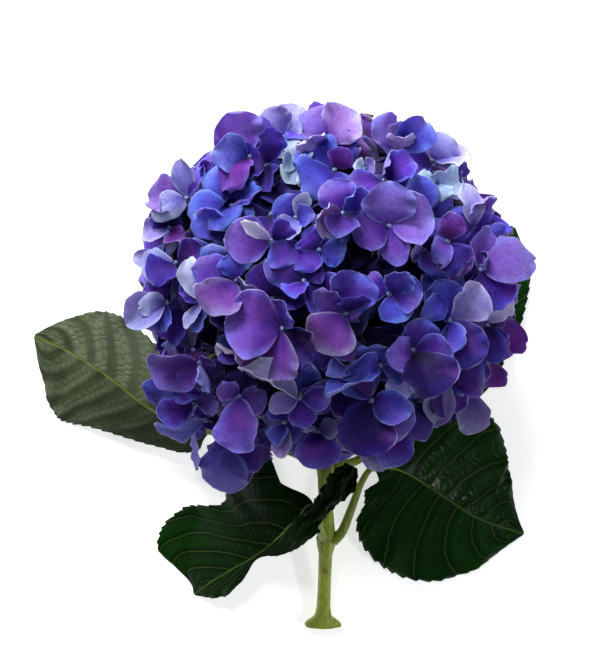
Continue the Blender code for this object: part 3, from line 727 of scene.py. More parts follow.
# Middle sheets of sepals, as an array of sepals x count x count points, with u, v and the place across
# over the length. Along v from claw to tip a sepal arches by 4 arch v (1 - v); its half width is
# width / 2 sin(pi v^a)^b; across it bends by cup u^2 + fold |u|, and its margin waves.
def sepalSheets(rows, middles, facings, count):
    total = len(rows)
    t = np.linspace(0, 1, count)
    v = sepal["even"] * t + (1 - sepal["even"]) * (1 - np.cos(math.pi * t)) / 2
    v = (sepal["from"] + sepal["span"] * v)[None, :, None]
    quarter = math.pi / 2 * sepal["crowd"]
    u = (np.sin(np.linspace(-1, 1, count) * quarter) / math.sin(quarter))[None, None, :]
    tips = np.array([r["tip"] for r in rows])
    middles, facings = np.array(middles), np.array(facings)
    along = unit(tips - middles)
    length = np.linalg.norm(tips - middles, axis=1)
    normal = unit(facings - np.sum(facings * along, 1, keepdims=True) * along)
    side = np.cross(along, normal)
    roll = np.radians([r["roll"] for r in rows])[:, None]
    cosine, sine = np.cos(roll), np.sin(roll)
    normal, side = cosine * normal + sine * side, cosine * side - sine * normal
    start = middles + along * sepal["claw"]
    length = (length - sepal["claw"])[:, None, None]
    width = np.array([r["width"] for r in rows])[:, None, None]
    arch = 0.001 * np.array([r["arch"] for r in rows], float)[:, None, None]
    pick = lambda low, high: chance.uniform(low, high, total)[:, None, None]
    widest, blunt = pick(*sepal["widest"]), pick(*sepal["blunt"])
    outline = np.sin(math.pi * v**widest) ** blunt
    outline = outline * (1 + sepal["notch"] * np.sin(pick(5, 9) * v * 2 + pick(0, 6) + 2 * np.sign(u)))
    half = width / 2 * outline
    lean = pick(*sepal["lean"])
    across = u * half + lean * width * v * (1 - v)
    cup, fold = pick(*sepal["cup"]), pick(*sepal["fold"])
    rise = arch * 4 * v * (1 - v)
    rise = rise + half * (cup * u**2 + fold * np.abs(u)) * (0.4 + 0.6 * v)
    turns = pick(*sepal["waves"]) * v + pick(0, 6)
    wave = np.sin(turns + u * 1.2) + 0.4 * np.sin(2.3 * turns + u)
    margin = np.abs(u) ** 2.5 * smooth(v, 0.05, 0.5) * (1 - smooth(v, 0.9, 1.0))
    scale = width / sepal["width"]
    rise = rise + sepal["ruffle"] * np.clip(scale, 0.2, 1.0) ** 1.5 * wave * margin
    rise = rise + sepal["tipBend"] * np.clip(scale, 0.3, 1.0) * pick(*sepal["bend"]) * smooth(v, 0.45, 1.0)
    rise = rise + sepal["twist"] * pick(-1.0, 1.0) * half * u * v
    sheet = (
        start[:, None, None]
        + along[:, None, None] * (length * v + 0 * u)[..., None]
        + side[:, None, None] * across[..., None]
        + normal[:, None, None] * rise[..., None]
    )
    return sheet, np.broadcast_to(u, across.shape), np.broadcast_to(v, across.shape), across / length


# Pairs of points nearer than reach: points are sorted by the cube they lie in, and each cube is
# compared with itself and with half of its neighbours.
def closePairs(points, reach):
    weights = np.array([1, 2000, 4000000])
    key = (np.floor(points / reach).astype(np.int64) + 500) @ weights
    order = np.argsort(key, kind="stable")
    ranked = key[order]
    firsts, seconds = [], []
    near = (-1, 0, 1)
    steps = [(a, b, c) for c in near for b in near for a in near if (c, b, a) >= (0, 0, 0)]
    for step in steps:
        wanted = key + np.array(step) @ weights
        low, high = np.searchsorted(ranked, wanted, "left"), np.searchsorted(ranked, wanted, "right")
        count = high - low
        first = np.repeat(np.arange(len(points)), count)
        place = np.arange(count.sum()) - np.repeat(np.cumsum(count) - count, count)
        second = order[np.repeat(low, count) + place]
        if step == (0, 0, 0):
            keep = first < second
            first, second = first[keep], second[keep]
        keep = np.sum((points[first] - points[second]) ** 2, 1) < reach * reach
        firsts.append(first[keep])
        seconds.append(second[keep])
    return np.concatenate(firsts), np.concatenate(seconds)


# How sheets are moved apart, in metres.
settling = {
    "steps": 26,
    "gap": 0.0006,  # kept between the sheets of two sepals where they lie on each other
    "reach": 0.0032,  # points nearer than this are compared
    "joined": 0.4,  # share of a sepal's length that may touch the same floret's other sepals
    "level": (0.3, 0.65),  # cosines between which two sepals count as lying on each other
    "most": 0.003,
    "floor": 0.0006,
    "calm": 0.12,  # weight of a point that has no wish
    "stiff": 0.02,
    "stride": 0.0012,
    "gain": 1.2,
}


# The ways a sepal may bend, each zero at its claw: v, v^2, u v, u v^2, u^2 v, u^2 v^2, u^3 v.
def bendShapes(u, v):
    return np.stack([v, v * v, u * v, u * v * v, u * u * v, u * u * v * v, u**3 * v], -1)


# Moves sheets that cross or touch to either side of each other. Where two sepals pass close, the
# side on which most of one lies is the side all of it goes to, by half the missing gap each; then the
# smoothest bend of each sepal that comes nearest to its points' wishes is applied (least squares).
def settle(sets, steps):
    strides = [max(1, (s["sheet"].shape[1] - 1) // 6) for s in sets]
    for step in range(steps):
        points, normals, owners, shapes, early = [], [], [], [], []
        start = 0
        for item, k in zip(sets, strides):
            sheet = item["sheet"]
            total = len(sheet)
            normal = sheetNormals(sheet)[:, ::k, ::k].reshape(total, -1, 3)
            part = sheet[:, ::k, ::k].reshape(total, -1, 3)
            points.append(part.reshape(-1, 3))
            normals.append(normal.reshape(-1, 3))
            owners.append(np.repeat(np.arange(start, start + total), part.shape[1]))
            u, v = item["u"][:, ::k, ::k], item["v"][:, ::k, ::k]
            shapes.append(bendShapes(u, v).reshape(total, -1, 7))
            early.append(v.reshape(-1))
            start += total
        points, normals, owners, early = (np.concatenate(a) for a in (points, normals, owners, early))
        if step % 3 == 0:
            first, second = closePairs(points, settling["reach"])
            joined = np.minimum(early[first], early[second]) < settling["joined"]
            joined &= owners[first] // 4 == owners[second] // 4
            keep = (owners[first] != owners[second]) & ~joined
            first, second = first[keep], second[keep]
            swap = owners[first] > owners[second]
            first[swap], second[swap] = second[swap], first[swap]
            pairKey = owners[first].astype(np.int64) * start + owners[second]
            names, group = np.unique(pairKey, return_inverse=True)
        dot = np.sum(normals[first] * normals[second], 1)
        way = unit(normals[first] + np.sign(dot)[:, None] * normals[second])
        apart = np.sum((points[first] - points[second]) * way, 1)
        level = smooth(np.abs(dot), *settling["level"])
        side = np.sign(np.bincount(group, level * apart, len(names)))[group]
        missing = np.clip(settling["gap"] - side * apart, 0, settling["most"]) * level
        push = way * (side * missing * 0.5)[:, None]
        hit = missing > 0
        wish = np.zeros_like(points)
        for axis in range(3):
            wish[:, axis] = np.bincount(first[hit], push[hit, axis], len(points))
            wish[:, axis] -= np.bincount(second[hit], push[hit, axis], len(points))
        hits = np.bincount(np.concatenate([first[hit], second[hit]]), minlength=len(points))
        wish /= np.maximum(hits, 1)[:, None]
        below = np.maximum(settling["floor"] - points[:, 2], 0)
        wish[:, 2] += below
        weight = np.where((hits > 0) | (below > 0), 1.0, settling["calm"])
        offset = 0
        for item, shape in zip(sets, shapes):
            total, each = shape.shape[:2]
            part = slice(offset, offset + total * each)
            w = weight[part].reshape(total, each, 1)
            d = wish[part].reshape(total, each, 3)
            square = np.einsum("sea,seb->sab", shape * w, shape) + settling["stiff"] * np.eye(7)
            coefficient = np.linalg.solve(square, np.einsum("sea,sed->sad", shape * w, d))
            move = np.einsum("sija,sad->sijd", bendShapes(item["u"], item["v"]), coefficient)
            size = np.linalg.norm(move, axis=-1, keepdims=True)
            shrink = np.minimum(1, settling["stride"] / np.maximum(size, 1e-9))
            item["sheet"] += move * shrink * settling["gain"]
            offset += total * each
        if step % 8 == 0 or step == steps - 1:
            deepest = round(float(missing.max()) * 1000, 2)
            print("settling", step, "touching", int(hit.sum()), "deepest mm", deepest)


tinting = {
    "vary": 0.12,
    "hue": 0.05,
    "inner": (0.4, 0.7),  # v by which the claw's colour has gone
    "rim": (0.25, 0.6),  # where the margin's colour starts
    "agedShare": 0.12,
    "aged": 0.35,
    "agedTone": (132, 116, 140),
    "through": 0.25,  # how much of the upper side's colour shows on the underside
}


# Claw colour to middle colour along v, then to the margin colour by the larger of |u| and v, and an
# aged patch on some sepals.
def sepalColours(rows, u, v, back):
    table = np.array([linear(tones[r["tone"]]) for r in rows])[:, :, None, None]
    total = len(rows)
    vary = chance.normal(1, tinting["vary"], (total, 1, 1, 1))
    hue = chance.normal(0, tinting["hue"], (total, 1, 1, 3)) * [1, 0.5, 0.6]
    claw, middle, margin, under = (table[:, k] * vary * (1 + hue) for k in range(4))
    side = chance.choice([-1.0, 1.0], total)[:, None, None]
    inner = smooth(v, 0.0, chance.uniform(*tinting["inner"], total)[:, None, None])[..., None]
    front = claw * (1 - inner) + middle * inner
    broad = chance.uniform(*tinting["rim"], total)[:, None, None]
    rim = smooth(np.maximum(np.abs(u) ** 1.4, v**1.4) + 0.12 * side * u * v, broad, 1.02)[..., None]
    front = front * (1 - rim) + margin * rim
    aged = (chance.uniform(0, 1, total) < tinting["agedShare"])[:, None, None]
    aged = aged * smooth(v, 0.45, 0.95) * smooth(-side * u, -0.6, 0.7)
    aged = tinting["aged"] * aged[..., None]
    front = front * (1 - aged) + aged * linear(tinting["agedTone"]) * vary
    if not back:
        return front
    through = tinting["through"]
    return (through * front + (1 - through) * under) * (0.85 + 0.15 * v)[..., None]


bead = {
    "size": 0.0013,
    "sunk": 0.0005,
    "rings": np.array([0.2, 0.75, 1.0, 0.85, 0.45]),
    "rise": np.array([-0.7, -0.3, 0.35, 0.9, 1.25]),
}


# A small closed bud: rings of the given radii stacked along the floret's facing.
def beadParts(middle, facing):
    path = middle + np.outer(bead["rise"] * bead["size"] - bead["sunk"], facing)
    return tube(path, np.outer(bead["rings"] * bead["size"], [1, 1]), 8, up=(0.93, 0.21, 0.3))


sepalLook, beadLook = sepalMaterial(), beadMaterial()


# The sheets of the chosen florets' sepals, with what they are made from.
def floretSheets(chosen, count):
    rows = [r for f in chosen for r in f["rows"]]
    middles = [f["middle"] for f in chosen for r in f["rows"]]
    facings = [f["facing"] for f in chosen for r in f["rows"]]
    sheet, u, v, flat = sepalSheets(rows, middles, facings, count)
    return {"florets": chosen, "rows": rows, "sheet": sheet, "u": u, "v": v, "flat": flat, "count": count}


# Each floret as one piece: its sepals as thin closed shells, half the thickness to each side of their
# sheets, and its bud. Sepals are painted darker with depth below the head's surface, as painted shade, and
# lighter towards its top and darker towards the stem, as painted light from above.
def floretPieces(item, prefix):
    chosen, rows, sheet, count = item["florets"], item["rows"], item["sheet"], item["count"]
    u, v, flat = item["u"], item["v"], item["flat"]
    if not chosen[0]["shown"]:
        away = (sheet - head["middle"]) / head["radii"]
        far = np.linalg.norm(away, axis=-1, keepdims=True)
        wanted = filling["hiddenReach"] + filling["pulledIn"] * (far - filling["hiddenReach"])
        sheet = head["middle"] + (sheet - head["middle"]) * np.minimum(1, wanted / far)
    sheet[..., 2] = np.maximum(sheet[..., 2], sepal["lowest"])
    points = shellAround(sheet, sepal["thickness"] / 2 * (1 - 0.5 * v[..., None]))
    edge = np.maximum(np.abs(u) ** 1.5, smooth(v, 0.7, 1.0))
    edge[:, 0, :] = 0.0
    uv = np.stack([flat + 0.5, v], -1)
    quads = shellIndex(count, count)
    # Painted shade: sepals deep inside the head are painted darker, where shade falls between the florets.
    depth = np.linalg.norm((sheet - head["middle"]) / head["radii"], axis=-1)
    lit = smooth(depth, *filling["shadeBetween"])
    dim = (filling["deepShade"] + (1 - filling["deepShade"]) * lit)[..., None]
    # Painted light: sepals are painted lighter towards the head's top and darker towards the stem, as light
    # from above falls on it.
    dim = dim * np.exp(filling["paintedLightGradient"] * (sheet[..., 1:2] - head["middle"][1]) / head["radii"][1])
    front, back = sepalColours(rows, u, v, False) * dim, sepalColours(rows, u, v, True) * dim
    tints = shellPoints(front, back)
    edges = shellValues(edge, edge)
    uvs = shellPoints(uv, uv)
    each = points.shape[1]
    made = []
    for k, floret in enumerate(chosen):
        part = slice(4 * k, 4 * k + 4)
        faces = (quads[None] + (np.arange(4) * each)[:, None, None]).reshape(-1, 4)
        bud, budQuads, budEnds = beadParts(floret["middle"], floret["facing"])
        base, extra = 4 * each, len(bud)
        obj = makeMesh(
            prefix % (k + 1),
            np.concatenate([points[part].reshape(-1, 3), bud]),
            [faces, budQuads + base, budEnds + base],
            [sepalLook, beadLook],
            np.concatenate([np.zeros(len(faces)), np.ones(len(budQuads) + len(budEnds))]),
            np.concatenate([uvs[part].reshape(-1, 2), np.full((extra, 2), 0.5)]),
            {"edge": np.concatenate([edges[part].ravel(), np.zeros(extra)])},
            {"tint": np.concatenate([tints[part].reshape(-1, 3), np.full((extra, 3), 0.3)])},
        )
        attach(obj, "root")
        made.append(obj)
    return made


shown = [f for f in florets if f["shown"]]
hidden = [f for f in florets if not f["shown"]]
sheets = [floretSheets(shown, sepal["rowsShown"]), floretSheets(hidden, sepal["rowsHidden"])]
settle(sheets, settling["steps"])
pieces = floretPieces(sheets[0], "floret_front_%02d") + floretPieces(sheets[1], "floret_round_%02d")
ordered = shown + hidden
free = set(range(len(ordered)))
for name in solidFlorets:
    nearest = min(free, key=lambda k: np.linalg.norm(ordered[k]["middle"] - solidPlaces[name]))
    free.discard(nearest)
    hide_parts(name)
print("florets made")

branchLook = stalkMaterial("branch bark", (120, 140, 75), (62, 84, 40), (70, 60, 40))
pedicel = {
    "radius": 0.0007,
    "sides": 6,
    "rings": 7,
    "behind": 0.0012,  # how far under the floret's middle it starts
    "foot": 0.5,  # share of the way from the head's middle to the floret where it ends
    "down": (0, -0.008, 0),  # from there towards the stem
    "straight": 0.35,  # how far it goes straight back, for its length
}


# A tube from under each floret's middle, first straight back, then bending to its foot inside the head:
# (1 - t)^2 top + 2 t (1 - t) bend + t^2 foot.
def pedicels():
    points, quads, ends, count = [], [], [], 0
    for floret in ordered:
        top = floret["middle"] - floret["facing"] * pedicel["behind"]
        foot = head["middle"] + (floret["middle"] - head["middle"]) * pedicel["foot"]
        foot = foot + pedicel["down"]
        bend = top - floret["facing"] * pedicel["straight"] * np.linalg.norm(top - foot)
        t = np.linspace(0, 1, pedicel["rings"])[:, None]
        path = (1 - t) ** 2 * top + 2 * t * (1 - t) * bend + t**2 * foot
        radii = pedicel["radius"] * (0.85 + 0.5 * np.abs(t - 0.3) ** 1.5) * np.ones((1, 2))
        p, q, e = tube(path, radii, pedicel["sides"], up=(0.31, 0.4, 0.86))
        points.append(p)
        quads.append(q + count)
        ends.append(e + count)
        count += len(p)
    faces = [np.concatenate(quads), np.concatenate(ends)]
    obj = makeMesh("pedicels", np.concatenate(points), faces, [branchLook])
    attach(obj, "root")


pedicels()
for name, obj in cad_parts.items():
    if name.startswith("branch"):
        obj.data.materials.clear()
        obj.data.materials.append(branchLook)
print("pedicels made")

# Each station: place, half width and half depth, in millimetres.
stem = {
    "stations": [
        ((-1.4, -166.9, 5.0), 9.2, 3.9),
        ((-1.4, -165.0, 5.7), 8.6, 3.8),
        ((-1.4, -162.4, 6.7), 4.3, 3.3),
        ((-1.2, -157.0, 8.9), 3.3, 3.1),
        ((-0.8, -143.0, 14.5), 3.1, 3.1),
        ((-0.4, -130.0, 20.0), 3.2, 3.1),
        ((-0.2, -125.5, 21.9), 4.3, 3.6),
        ((0.0, -121.5, 23.5), 4.9, 4.0),
        ((0.0, -117.5, 25.1), 3.9, 3.5),
        ((-0.6, -104.0, 30.6), 3.3, 3.2),
        ((-0.8, -91.0, 35.8), 3.6, 3.5),
        ((-0.6, -86.5, 37.6), 4.5, 4.1),
        ((-0.4, -82.0, 39.4), 3.7, 3.6),
        ((0.0, -69.0, 44.6), 3.8, 3.8),
        ((0.0, -62.7, 47.0), 5.2, 5.2),
        ((0.0, -59.9, 48.1), 5.8, 5.8),
        ((0.0, -57.1, 49.3), 5.8, 5.8),
        ((0.0, -54.8, 50.2), 4.2, 4.2),
        ((0.0, -53.7, 50.6), 2.2, 2.2),
    ],
    "rings": 240,
    "sides": 40,
    "smoothing": 9,  # rings over which the widths are evened out
    "nodesAt": (-121.5, -86.5),
    "nodeHalf": 1.1,
    "scarAt": -137,
}


# The stations' ellipses joined along y, with fine ridges, and scars where leaves once sat.
def makeStem():
    places = np.array([s[0] for s in stem["stations"]])
    halves = np.array([s[1:] for s in stem["stations"]])
    y = np.linspace(places[0, 1], places[-1, 1], stem["rings"])
    path = between(y, places[:, 1], places)
    kernel, pad = np.hanning(stem["smoothing"]), stem["smoothing"] // 2
    radii = np.pad(between(y, places[:, 1], halves), ((pad, pad), (0, 0)), mode="edge")
    radii = np.stack([np.convolve(r, kernel / kernel.sum(), "valid") for r in radii.T], 1)
    points, quads, ends = tube(at(path), radii * 0.001, stem["sides"])
    turn = np.tile(np.linspace(0, 2 * math.pi, stem["sides"], endpoint=False), stem["rings"])
    height = np.repeat(y, stem["sides"])
    ring = np.repeat(at(path), stem["sides"], 0)
    scars = np.zeros(len(points))
    away = np.hypot((height - stem["scarAt"]) / 1.6, (np.sin(turn) - 1) * 6)
    nodeMark = sum(np.exp(-(((height - place) / stem["nodeHalf"]) ** 2)) for place in stem["nodesAt"])
    scars[: len(turn)] = np.clip(np.exp(-(away**2)) + 0.35 * nodeMark, 0, 1)
    ridge = 0.03 * np.sin(turn * 6 + height * 0.04) + 0.02 * np.sin(turn * 11 + height * 0.1)
    ridge = ridge + 0.05 * nodeMark * np.sin(turn * 5)
    points[: len(turn)] = ring + (points[: len(turn)] - ring) * (1 + ridge)[:, None]
    obj = makeMesh("stem_bark", points, [quads, ends], [stemLook], values={"scar": scars})
    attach(obj, "root")
    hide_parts("stem")


stemLook = stalkMaterial("stem bark", (172, 188, 66), (132, 152, 42), (122, 92, 60))
makeStem()
print("stem made")

# How each leaf is coloured and veined: colours in screen steps, midrib and spacing in millimetres.
darkLeaf = {
    "dark": (3, 30, 2),
    "pale": (13, 57, 8),
    "vein": (66, 92, 30),
    "back": (16, 38, 18),
    "forward": 0.2,  # how far side veins run forward, in lengths of the blade
    "sideVeins": 8.0,
    "veinWidth": 0.012,
    "sideShow": 0.6,
    "crossShow": 0.06,
    "rung": 3.4,  # spacing of the cross veins
    "ladder": 0.3,  # depth of the puffs between the cross veins
    "midrib": 0.6,
    "bulge": 0.0006,
    "gloss": (0.2, 0.38),
    "specular": 0.1,
    "baseShade": 0.35,  # painted shadow: darkening of the blade towards its base, near the head
}
greyLeaf = {
    **darkLeaf,
    "dark": (30, 42, 22),
    "pale": (84, 93, 68),
    "vein": (86, 106, 40),
    "back": (60, 84, 56),
    "sideShow": 0.12,
    "crossShow": 0.0,
    "rung": 3.2,
    "ladder": 0.38,
    "midrib": 0.5,
    "bulge": 0.0008,
    "gloss": (0.5, 0.62),
    "specular": 0.15,
    "baseShade": 0.75,
}
frontLeaf = {
    **darkLeaf,
    "dark": (3, 23, 2),
    "pale": (11, 46, 6),
    "forward": 0.45,
    "sideVeins": 6.5,
    "gloss": (0.34, 0.5),
    "specular": 0.06,
}
# A leaf's line from stem to tip; the share of it at which the blade begins; for each half its widths and
# leans (degrees up from level) at even steps from base to tip, and how much more it curls by its margin.
leaves = {
    "leaf_right": {
        "line": [(3.2, -123.0, 24.0), (7.4, -118.5, 25.6), (10.4, -111.5, 26.2), (13.5, -103.0, 27.0),
            (17.0, -94.0, 28.5), (22.0, -87.5, 30.0), (32.0, -87.0, 30.5), (43.0, -92.0, 28.5),
            (59.5, -103.5, 21.0), (76.0, -114.0, 12.0), (98.0, -122.0, 1.5)],
        "bladeFrom": 0.32,
        "right": {"widths": (14, 19, 24, 31, 43, 48, 49, 47, 40, 30, 20, 9, 0.5),
            "leans": (-26, -16, -4), "curl": -8},
        "left": {"widths": (16, 25, 33, 37, 40, 43, 46, 39, 33, 28, 19, 8, 0.5), "leans": (-10, -6, 4),
            "curl": -16},
        "look": darkLeaf,
        "sweep": (0, -34, -14, 8, 8, 8),
    },
    "leaf_front": {
        "line": [(-1.0, -121.5, 25.0), (-2.6, -118.0, 30.5), (-3.4, -112.5, 36.5), (-4.4, -106.5, 41.5),
            (-8.4, -104.5, 45.0), (-15.5, -111.5, 43.0), (-24.0, -121.0, 36.0), (-36.0, -131.0, 27.0),
            (-46.0, -137.3, 19.5), (-59.0, -146.6, 8.0), (-65.0, -152.0, 1.5)],
        "bladeFrom": 0.23,
        "right": {"widths": (8, 36, 40, 41, 38, 33.5, 43.5, 50, 51, 47, 34, 9, 0.5),
            "leans": (-10, -12, -2), "curl": -20},
        "left": {"widths": (7, 14, 12.5, 10.2, 7, 3.1, 2.8, 10.5, 13.4, 11.8, 9, 5, 0.5),
            "leans": (20, 24, 10, 6, 0), "curl": 10},
        "look": frontLeaf,
        "sweep": (25, -20, 12, 40, 46, 44),
        "lobe": {
            "line": [(-17.0, -119.0, 44.0), (-9.5, -112.0, 50.0), (-4.4, -106.0, 53.5),
                (0.7, -99.8, 55.5), (5.6, -93.8, 56.0), (9.2, -88.6, 54.0), (11.2, -84.6, 51.0)],
            "halfWidths": (2.0, 5.0, 5.0, 4.6, 6.0, 6.8, 3.2),
            "folds": 2.1,
            "crimp": 1.2,
        },
    },
    "leaf_left": {
        "line": [(-2.4, -86.0, 37.4), (-7.0, -83.5, 36.8), (-19.0, -78.5, 34.0), (-38.0, -74.5, 28.0),
            (-58.0, -70.0, 23.5), (-68.0, -67.5, 22.0), (-87.0, -58.5, 20.0), (-109.0, -42.0, 15.5),
            (-128.0, -31.0, 8.0), (-144.5, -24.0, 1.5)],
        "bladeFrom": 0.36,
        "right": {"widths": (4, 9, 14, 18, 22, 25, 27, 28, 28, 25, 18, 10, 1), "leans": (-2, -6, 2),
            "curl": -8},
        "left": {"widths": (3, 12, 17, 18, 20, 23.5, 28, 33, 34, 31, 23.5, 14, 0.5),
            "leans": (-24, -20, -4), "curl": -8},
        "look": greyLeaf,
        "sweep": (0, -34, -14, 8, 5, 2),
    },
    "leaf_back": {
        "line": [(2.0, -86.6, 37.2), (5.4, -86.0, 35.8), (16.0, -83.0, 29.0), (30.0, -73.0, 20.0),
            (44.0, -58.0, 11.0), (58.0, -36.0, 5.5), (70.0, -12.0, 3.5), (81.0, 10.0, 3.0),
            (93.0, 30.0, 1.5)],
        "bladeFrom": 0.22,
        "right": {"widths": (4, 17, 24, 27, 26, 19, 1), "leans": (0, 2, 2), "curl": 0},
        "left": {"widths": (4, 17, 24, 25, 24, 18, 1), "leans": (4, 2, 2), "curl": 0},
        "look": darkLeaf,
        "sweep": (0, -34, -14, 8, 16, 24),
    },
}
blade = {
    "rows": 180,
    "half": 26,
    "thickness": 0.0005,
    "lowest": 0.0008,
    "teeth": 26,
    "toothDepth": 0.06,
    "toothSteps": 5,  # how many of a half's steps the teeth take up
    "bulge": 0.0008,
    "ruffle": 0.0009,
    "bow": 1.25,  # how much the side veins bend forward
    "stagger": 0.02,  # between the side veins of the two halves
    "sweepAt": (0.0, 0.12, 0.35, 0.6, 0.8, 1.0),
    "stations": 200,
    "ribRadii": (0.0029, 0.0023, 0.0014, 0.0003),  # at the stem, soon after it, at the blade, at the tip
    "ribSides": 12,
}


# Values at even steps, joined by Catmull-Rom curves.
def even(values, share):
    knots = np.array([2 * values[0] - values[1], *values, 2 * values[-1] - values[-2]], float)
    place = share * (len(values) - 1)
    k = np.minimum(place.astype(int), len(values) - 2)
    t = place - k
    a, b, c, d = (knots[k + j] for j in range(4))
    return catmull(a, b, c, d, t)


# Places across and up from midrib to margin, and the way there: steps of equal length whose angle goes
# from lean to lean + curl. The last steps are longer and shorter in turn, as teeth.
def halfBlade(half, share, steps):
    stride = np.maximum(even(half["widths"], share), 0.4) * 0.001 / steps
    rounded = np.sqrt(np.clip(share / 0.07, 0.02, 1))
    saw = (share * blade["teeth"]) % 1.0
    tooth = (1 + blade["toothDepth"] * (saw - 0.5)) ** 3
    step = np.arange(steps)
    angle = np.radians(even(half["leans"], share)[:, None] + half["curl"] * (step + 0.5) / steps)
    margin = step >= steps - blade["toothSteps"]
    stride = (stride * rounded)[:, None] * np.where(margin, tooth[:, None], 1.0)
    zero = np.zeros((len(share), 1))
    parts = (np.cos(angle) * stride, np.sin(angle) * stride, stride)
    return [np.concatenate([zero, np.cumsum(part, 1)], 1) for part in parts]


# The part of the front leaf that turns back over the stem: a strip carried along a line, folded
# lengthwise like a fan (a sine of u with folds turns) and frilled at its margins.
def lobeSheet(lobe, rows, columns):
    line = at(smoothLine(lobe["line"], rows))
    right, out = sideways(unit(np.gradient(line, axis=0)))
    share = np.linspace(0, 1, rows)[:, None]
    u = np.linspace(-1, 1, columns)[None, :]
    half = 0.001 * np.maximum(even(lobe["halfWidths"], share[:, 0]), 0.3)[:, None]
    frill = 1 + 0.07 * np.sin(share * 46 + 2 * u) + 0.04 * np.sin(share * 97)
    across = u * half * np.where(np.abs(u) > 0.6, frill, 1.0)
    turn = math.pi * lobe["folds"] * u + 1.2 * np.sin(share * 9) + 0.9 * np.sin(share * 23 + 2)
    strength = smooth(share, 0.05, 0.3) * (1 - smooth(share, 0.9, 1.0))
    fan = np.sin(turn) + 0.5 * np.sin(2.3 * turn + share * 31) - 0.9 * u**2
    up = strength * (0.001 * lobe["crimp"] * fan + 0.0005 * np.sin(share * 70 + 3 * u) * u**2)
    sheet = line[:, None] + right[:, None] * across[..., None] + out[:, None] * up[..., None]
    return sheet, share + 0 * u, u + 0 * share


# Rows of points along the line, each leaning and curling to both margins and bulging between the side
# veins, with x from margin to margin, y from base to tip and the way from the midrib.
def bladeSheet(leaf, line, shares):
    share = np.linspace(0, 1, blade["rows"])
    wanted = leaf["bladeFrom"] + share * (1 - leaf["bladeFrom"])
    spine = between(wanted, shares, line)
    along = unit(between(wanted, shares, unit(np.gradient(line, axis=0))))
    right, out = sideways(along)
    halves = [halfBlade(leaf[k], share, blade["half"]) for k in ("left", "right")]
    across, up, reach = (
        np.concatenate([sign * left[:, ::-1], other[:, 1:]], 1)
        for sign, left, other in zip((-1, 1, 1), *halves)
    )
    x, y = np.meshgrid(np.linspace(-1, 1, 2 * blade["half"] + 1), share)
    look = leaf["look"]
    place = y - look["forward"] * np.abs(x) ** blade["bow"] + blade["stagger"] * np.sign(x)
    quilt = np.sin(math.pi * (place * look["sideVeins"] % 1.0)) ** 0.6
    sweep = np.radians(np.interp(share, blade["sweepAt"], leaf["sweep"]))[:, None]
    lift = up + blade["bulge"] * (quilt - 0.5) * smooth(reach, 0.001, 0.006) * (1 - np.abs(x) ** 6)
    waves = np.sin(share * 41 + np.sin(share * 17))[:, None] * np.abs(x) ** 3
    lift = lift + blade["ruffle"] * waves * smooth(reach, 0.004, 0.012)
    sheet = (
        spine[:, None]
        + right[:, None] * (across * np.cos(sweep))[..., None]
        + along[:, None] * (np.abs(across) * np.sin(sweep))[..., None]
        + out[:, None] * lift[..., None]
    )
    sheet[..., 2] = np.maximum(sheet[..., 2], blade["lowest"] + 0.0002 * quilt)
    return sheet, x, y, reach


# Petiole and midrib: a round profile carried along the leaf's line, thinner to the tip, and under the
# blade where there is one.
def leafRib(leaf, line, shares):
    thin = np.interp(shares, [0, 0.06, leaf["bladeFrom"], 1], blade["ribRadii"])[:, None]
    drop = smooth(shares, leaf["bladeFrom"] - 0.02, leaf["bladeFrom"] + 0.08)[:, None] * thin * 0.75
    path = line - drop * [0, 0, 1.0]
    path[:, 2] = np.maximum(path[:, 2], thin[:, 0] + 0.0001)
    return tube(path[::2], (thin * [1, 0.9])[::2], blade["ribSides"])


# A leaf as one piece: blade, petiole with midrib and, on the front leaf, the part that turns back.
def makeLeaf(name, leaf):
    line = at(smoothLine(leaf["line"], blade["stations"]))
    shares = np.linspace(0, 1, blade["stations"])
    sheet, x, y, reach = bladeSheet(leaf, line, shares)
    place = np.stack([x / 2 + 0.5, y], -1)
    rib, ribQuads, ribEnds = leafRib(leaf, line, shares)
    none = np.zeros(len(rib))
    points = [shellAround(sheet, blade["thickness"] / 2), rib]
    uvs = [shellPoints(place, place), np.full((len(rib), 2), 0.5)]
    ways = [shellValues(reach, reach) * 1000, none]
    sides = [shellValues(np.ones_like(x), np.zeros_like(x)), none]
    base = len(points[0])
    faces = [shellIndex(*x.shape), ribQuads + base, ribEnds + base]
    kinds = [0, 1, 1]
    if "lobe" in leaf:
        strip, share, u = lobeSheet(leaf["lobe"], 90, 25)
        place = np.stack([u / 2 + 0.5, 0.35 - 0.3 * share], -1)
        away = 5 + 8 * np.abs(u)
        faces.append(shellIndex(*u.shape) + base + len(rib))
        kinds.append(0)
        points.append(shellAround(strip, blade["thickness"] / 2))
        uvs.append(shellPoints(place, place))
        ways.append(shellValues(away, away))
        sides.append(np.ones(len(points[-1])))
    obj = makeMesh(
        name + "_blade",
        np.concatenate(points),
        faces,
        [leafMaterial(name, leaf["look"]), petioleLook],
        np.repeat(kinds, [len(f) for f in faces]),
        np.concatenate(uvs),
        {"reach": np.concatenate(ways), "side": np.concatenate(sides)},
    )
    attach(obj, "root")
    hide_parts(name)


petioleLook = stalkMaterial("petiole bark", (150, 168, 54), (108, 130, 30), (100, 90, 50))
for name, leaf in leaves.items():
    makeLeaf(name, leaf)
print("leaves made")

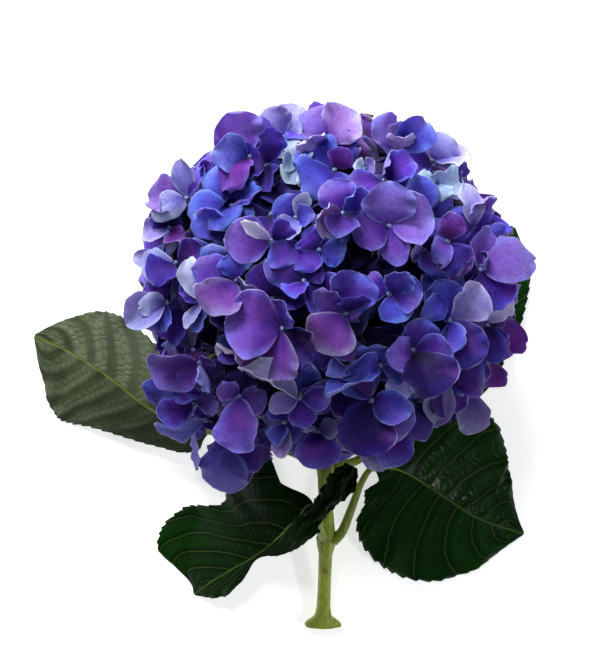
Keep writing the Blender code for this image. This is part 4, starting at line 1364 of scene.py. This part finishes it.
# Each light: offset from the head's middle, size, power and colour.
studio = {
    "lights": {
        "key light": ((-0.4, 1.05, 0.66), 0.7, 30.0, (1.0, 0.99, 0.97)),
        "window light": ((-0.16, 0.4, 0.92), 0.16, 2.3, (1.0, 1.0, 1.0)),
        "glint light": ((0.72, -0.38, 0.9), 0.14, 2.4, (1.0, 1.0, 1.0)),
        "fill light": ((0.9, -0.5, 0.8), 1.0, 0.4, (0.93, 0.96, 1.0)),
    },
    "sky": 0.19,
    "skyColour": (0.9, 0.93, 1.0, 1),
    "floor": 6.0,
    "floorColour": (0.93, 0.93, 0.93, 1),
    "floorGlow": 0.62,
}


# A wide pale square under the flower.
def makeFloor():
    size = studio["floor"]
    points = np.array([(-size, -size, 0), (size, -size, 0), (size, size, 0), (-size, size, 0)], float)
    material, shader = newMaterial("floor")[::2]
    setInputs(shader, {"Base Color": studio["floorColour"], "Roughness": 0.9, "Specular IOR Level": 0.1})
    setInputs(shader, {"Emission Color": (1.0, 1.0, 1.0, 1), "Emission Strength": studio["floorGlow"]})
    floor = makeMesh("floor", points, [np.array([[0, 1, 2, 3]])], [material])


# A round soft light at an offset from the head's middle, turned to it.
def addLight(name, offset, size, power, colour):
    data = bpy.data.lights.new(name, "AREA")
    data.shape = "DISK"
    data.size = size
    data.energy = power
    data.color = colour
    light = bpy.data.objects.new(name, data)
    bpy.context.scene.collection.objects.link(light)
    place = Vector(head["middle"]) + Vector(offset)
    light.location = place
    light.rotation_euler = (place - Vector(head["middle"])).to_track_quat("Z", "Y").to_euler()


makeFloor()
for name, values in studio["lights"].items():
    addLight(name, *values)
world = bpy.data.worlds.new("sky")
world.use_nodes = True
setInputs(world.node_tree.nodes["Background"], {"Color": studio["skyColour"], "Strength": studio["sky"]})
bpy.context.scene.world = world
bpy.context.scene.view_settings.view_transform = "Standard"
eye = bpy.data.cameras.new("camera")
eye.lens = camera["lens"]
eye.sensor_width = 36
eye.clip_start, eye.clip_end = 0.01, 20
eyeObject = bpy.data.objects.new("camera", eye)
eyeObject.location = head["middle"] + [camera["right"], camera["up"], camera["distance"]]
bpy.context.scene.collection.objects.link(eyeObject)
bpy.context.scene.camera = eyeObject
print("studio made")
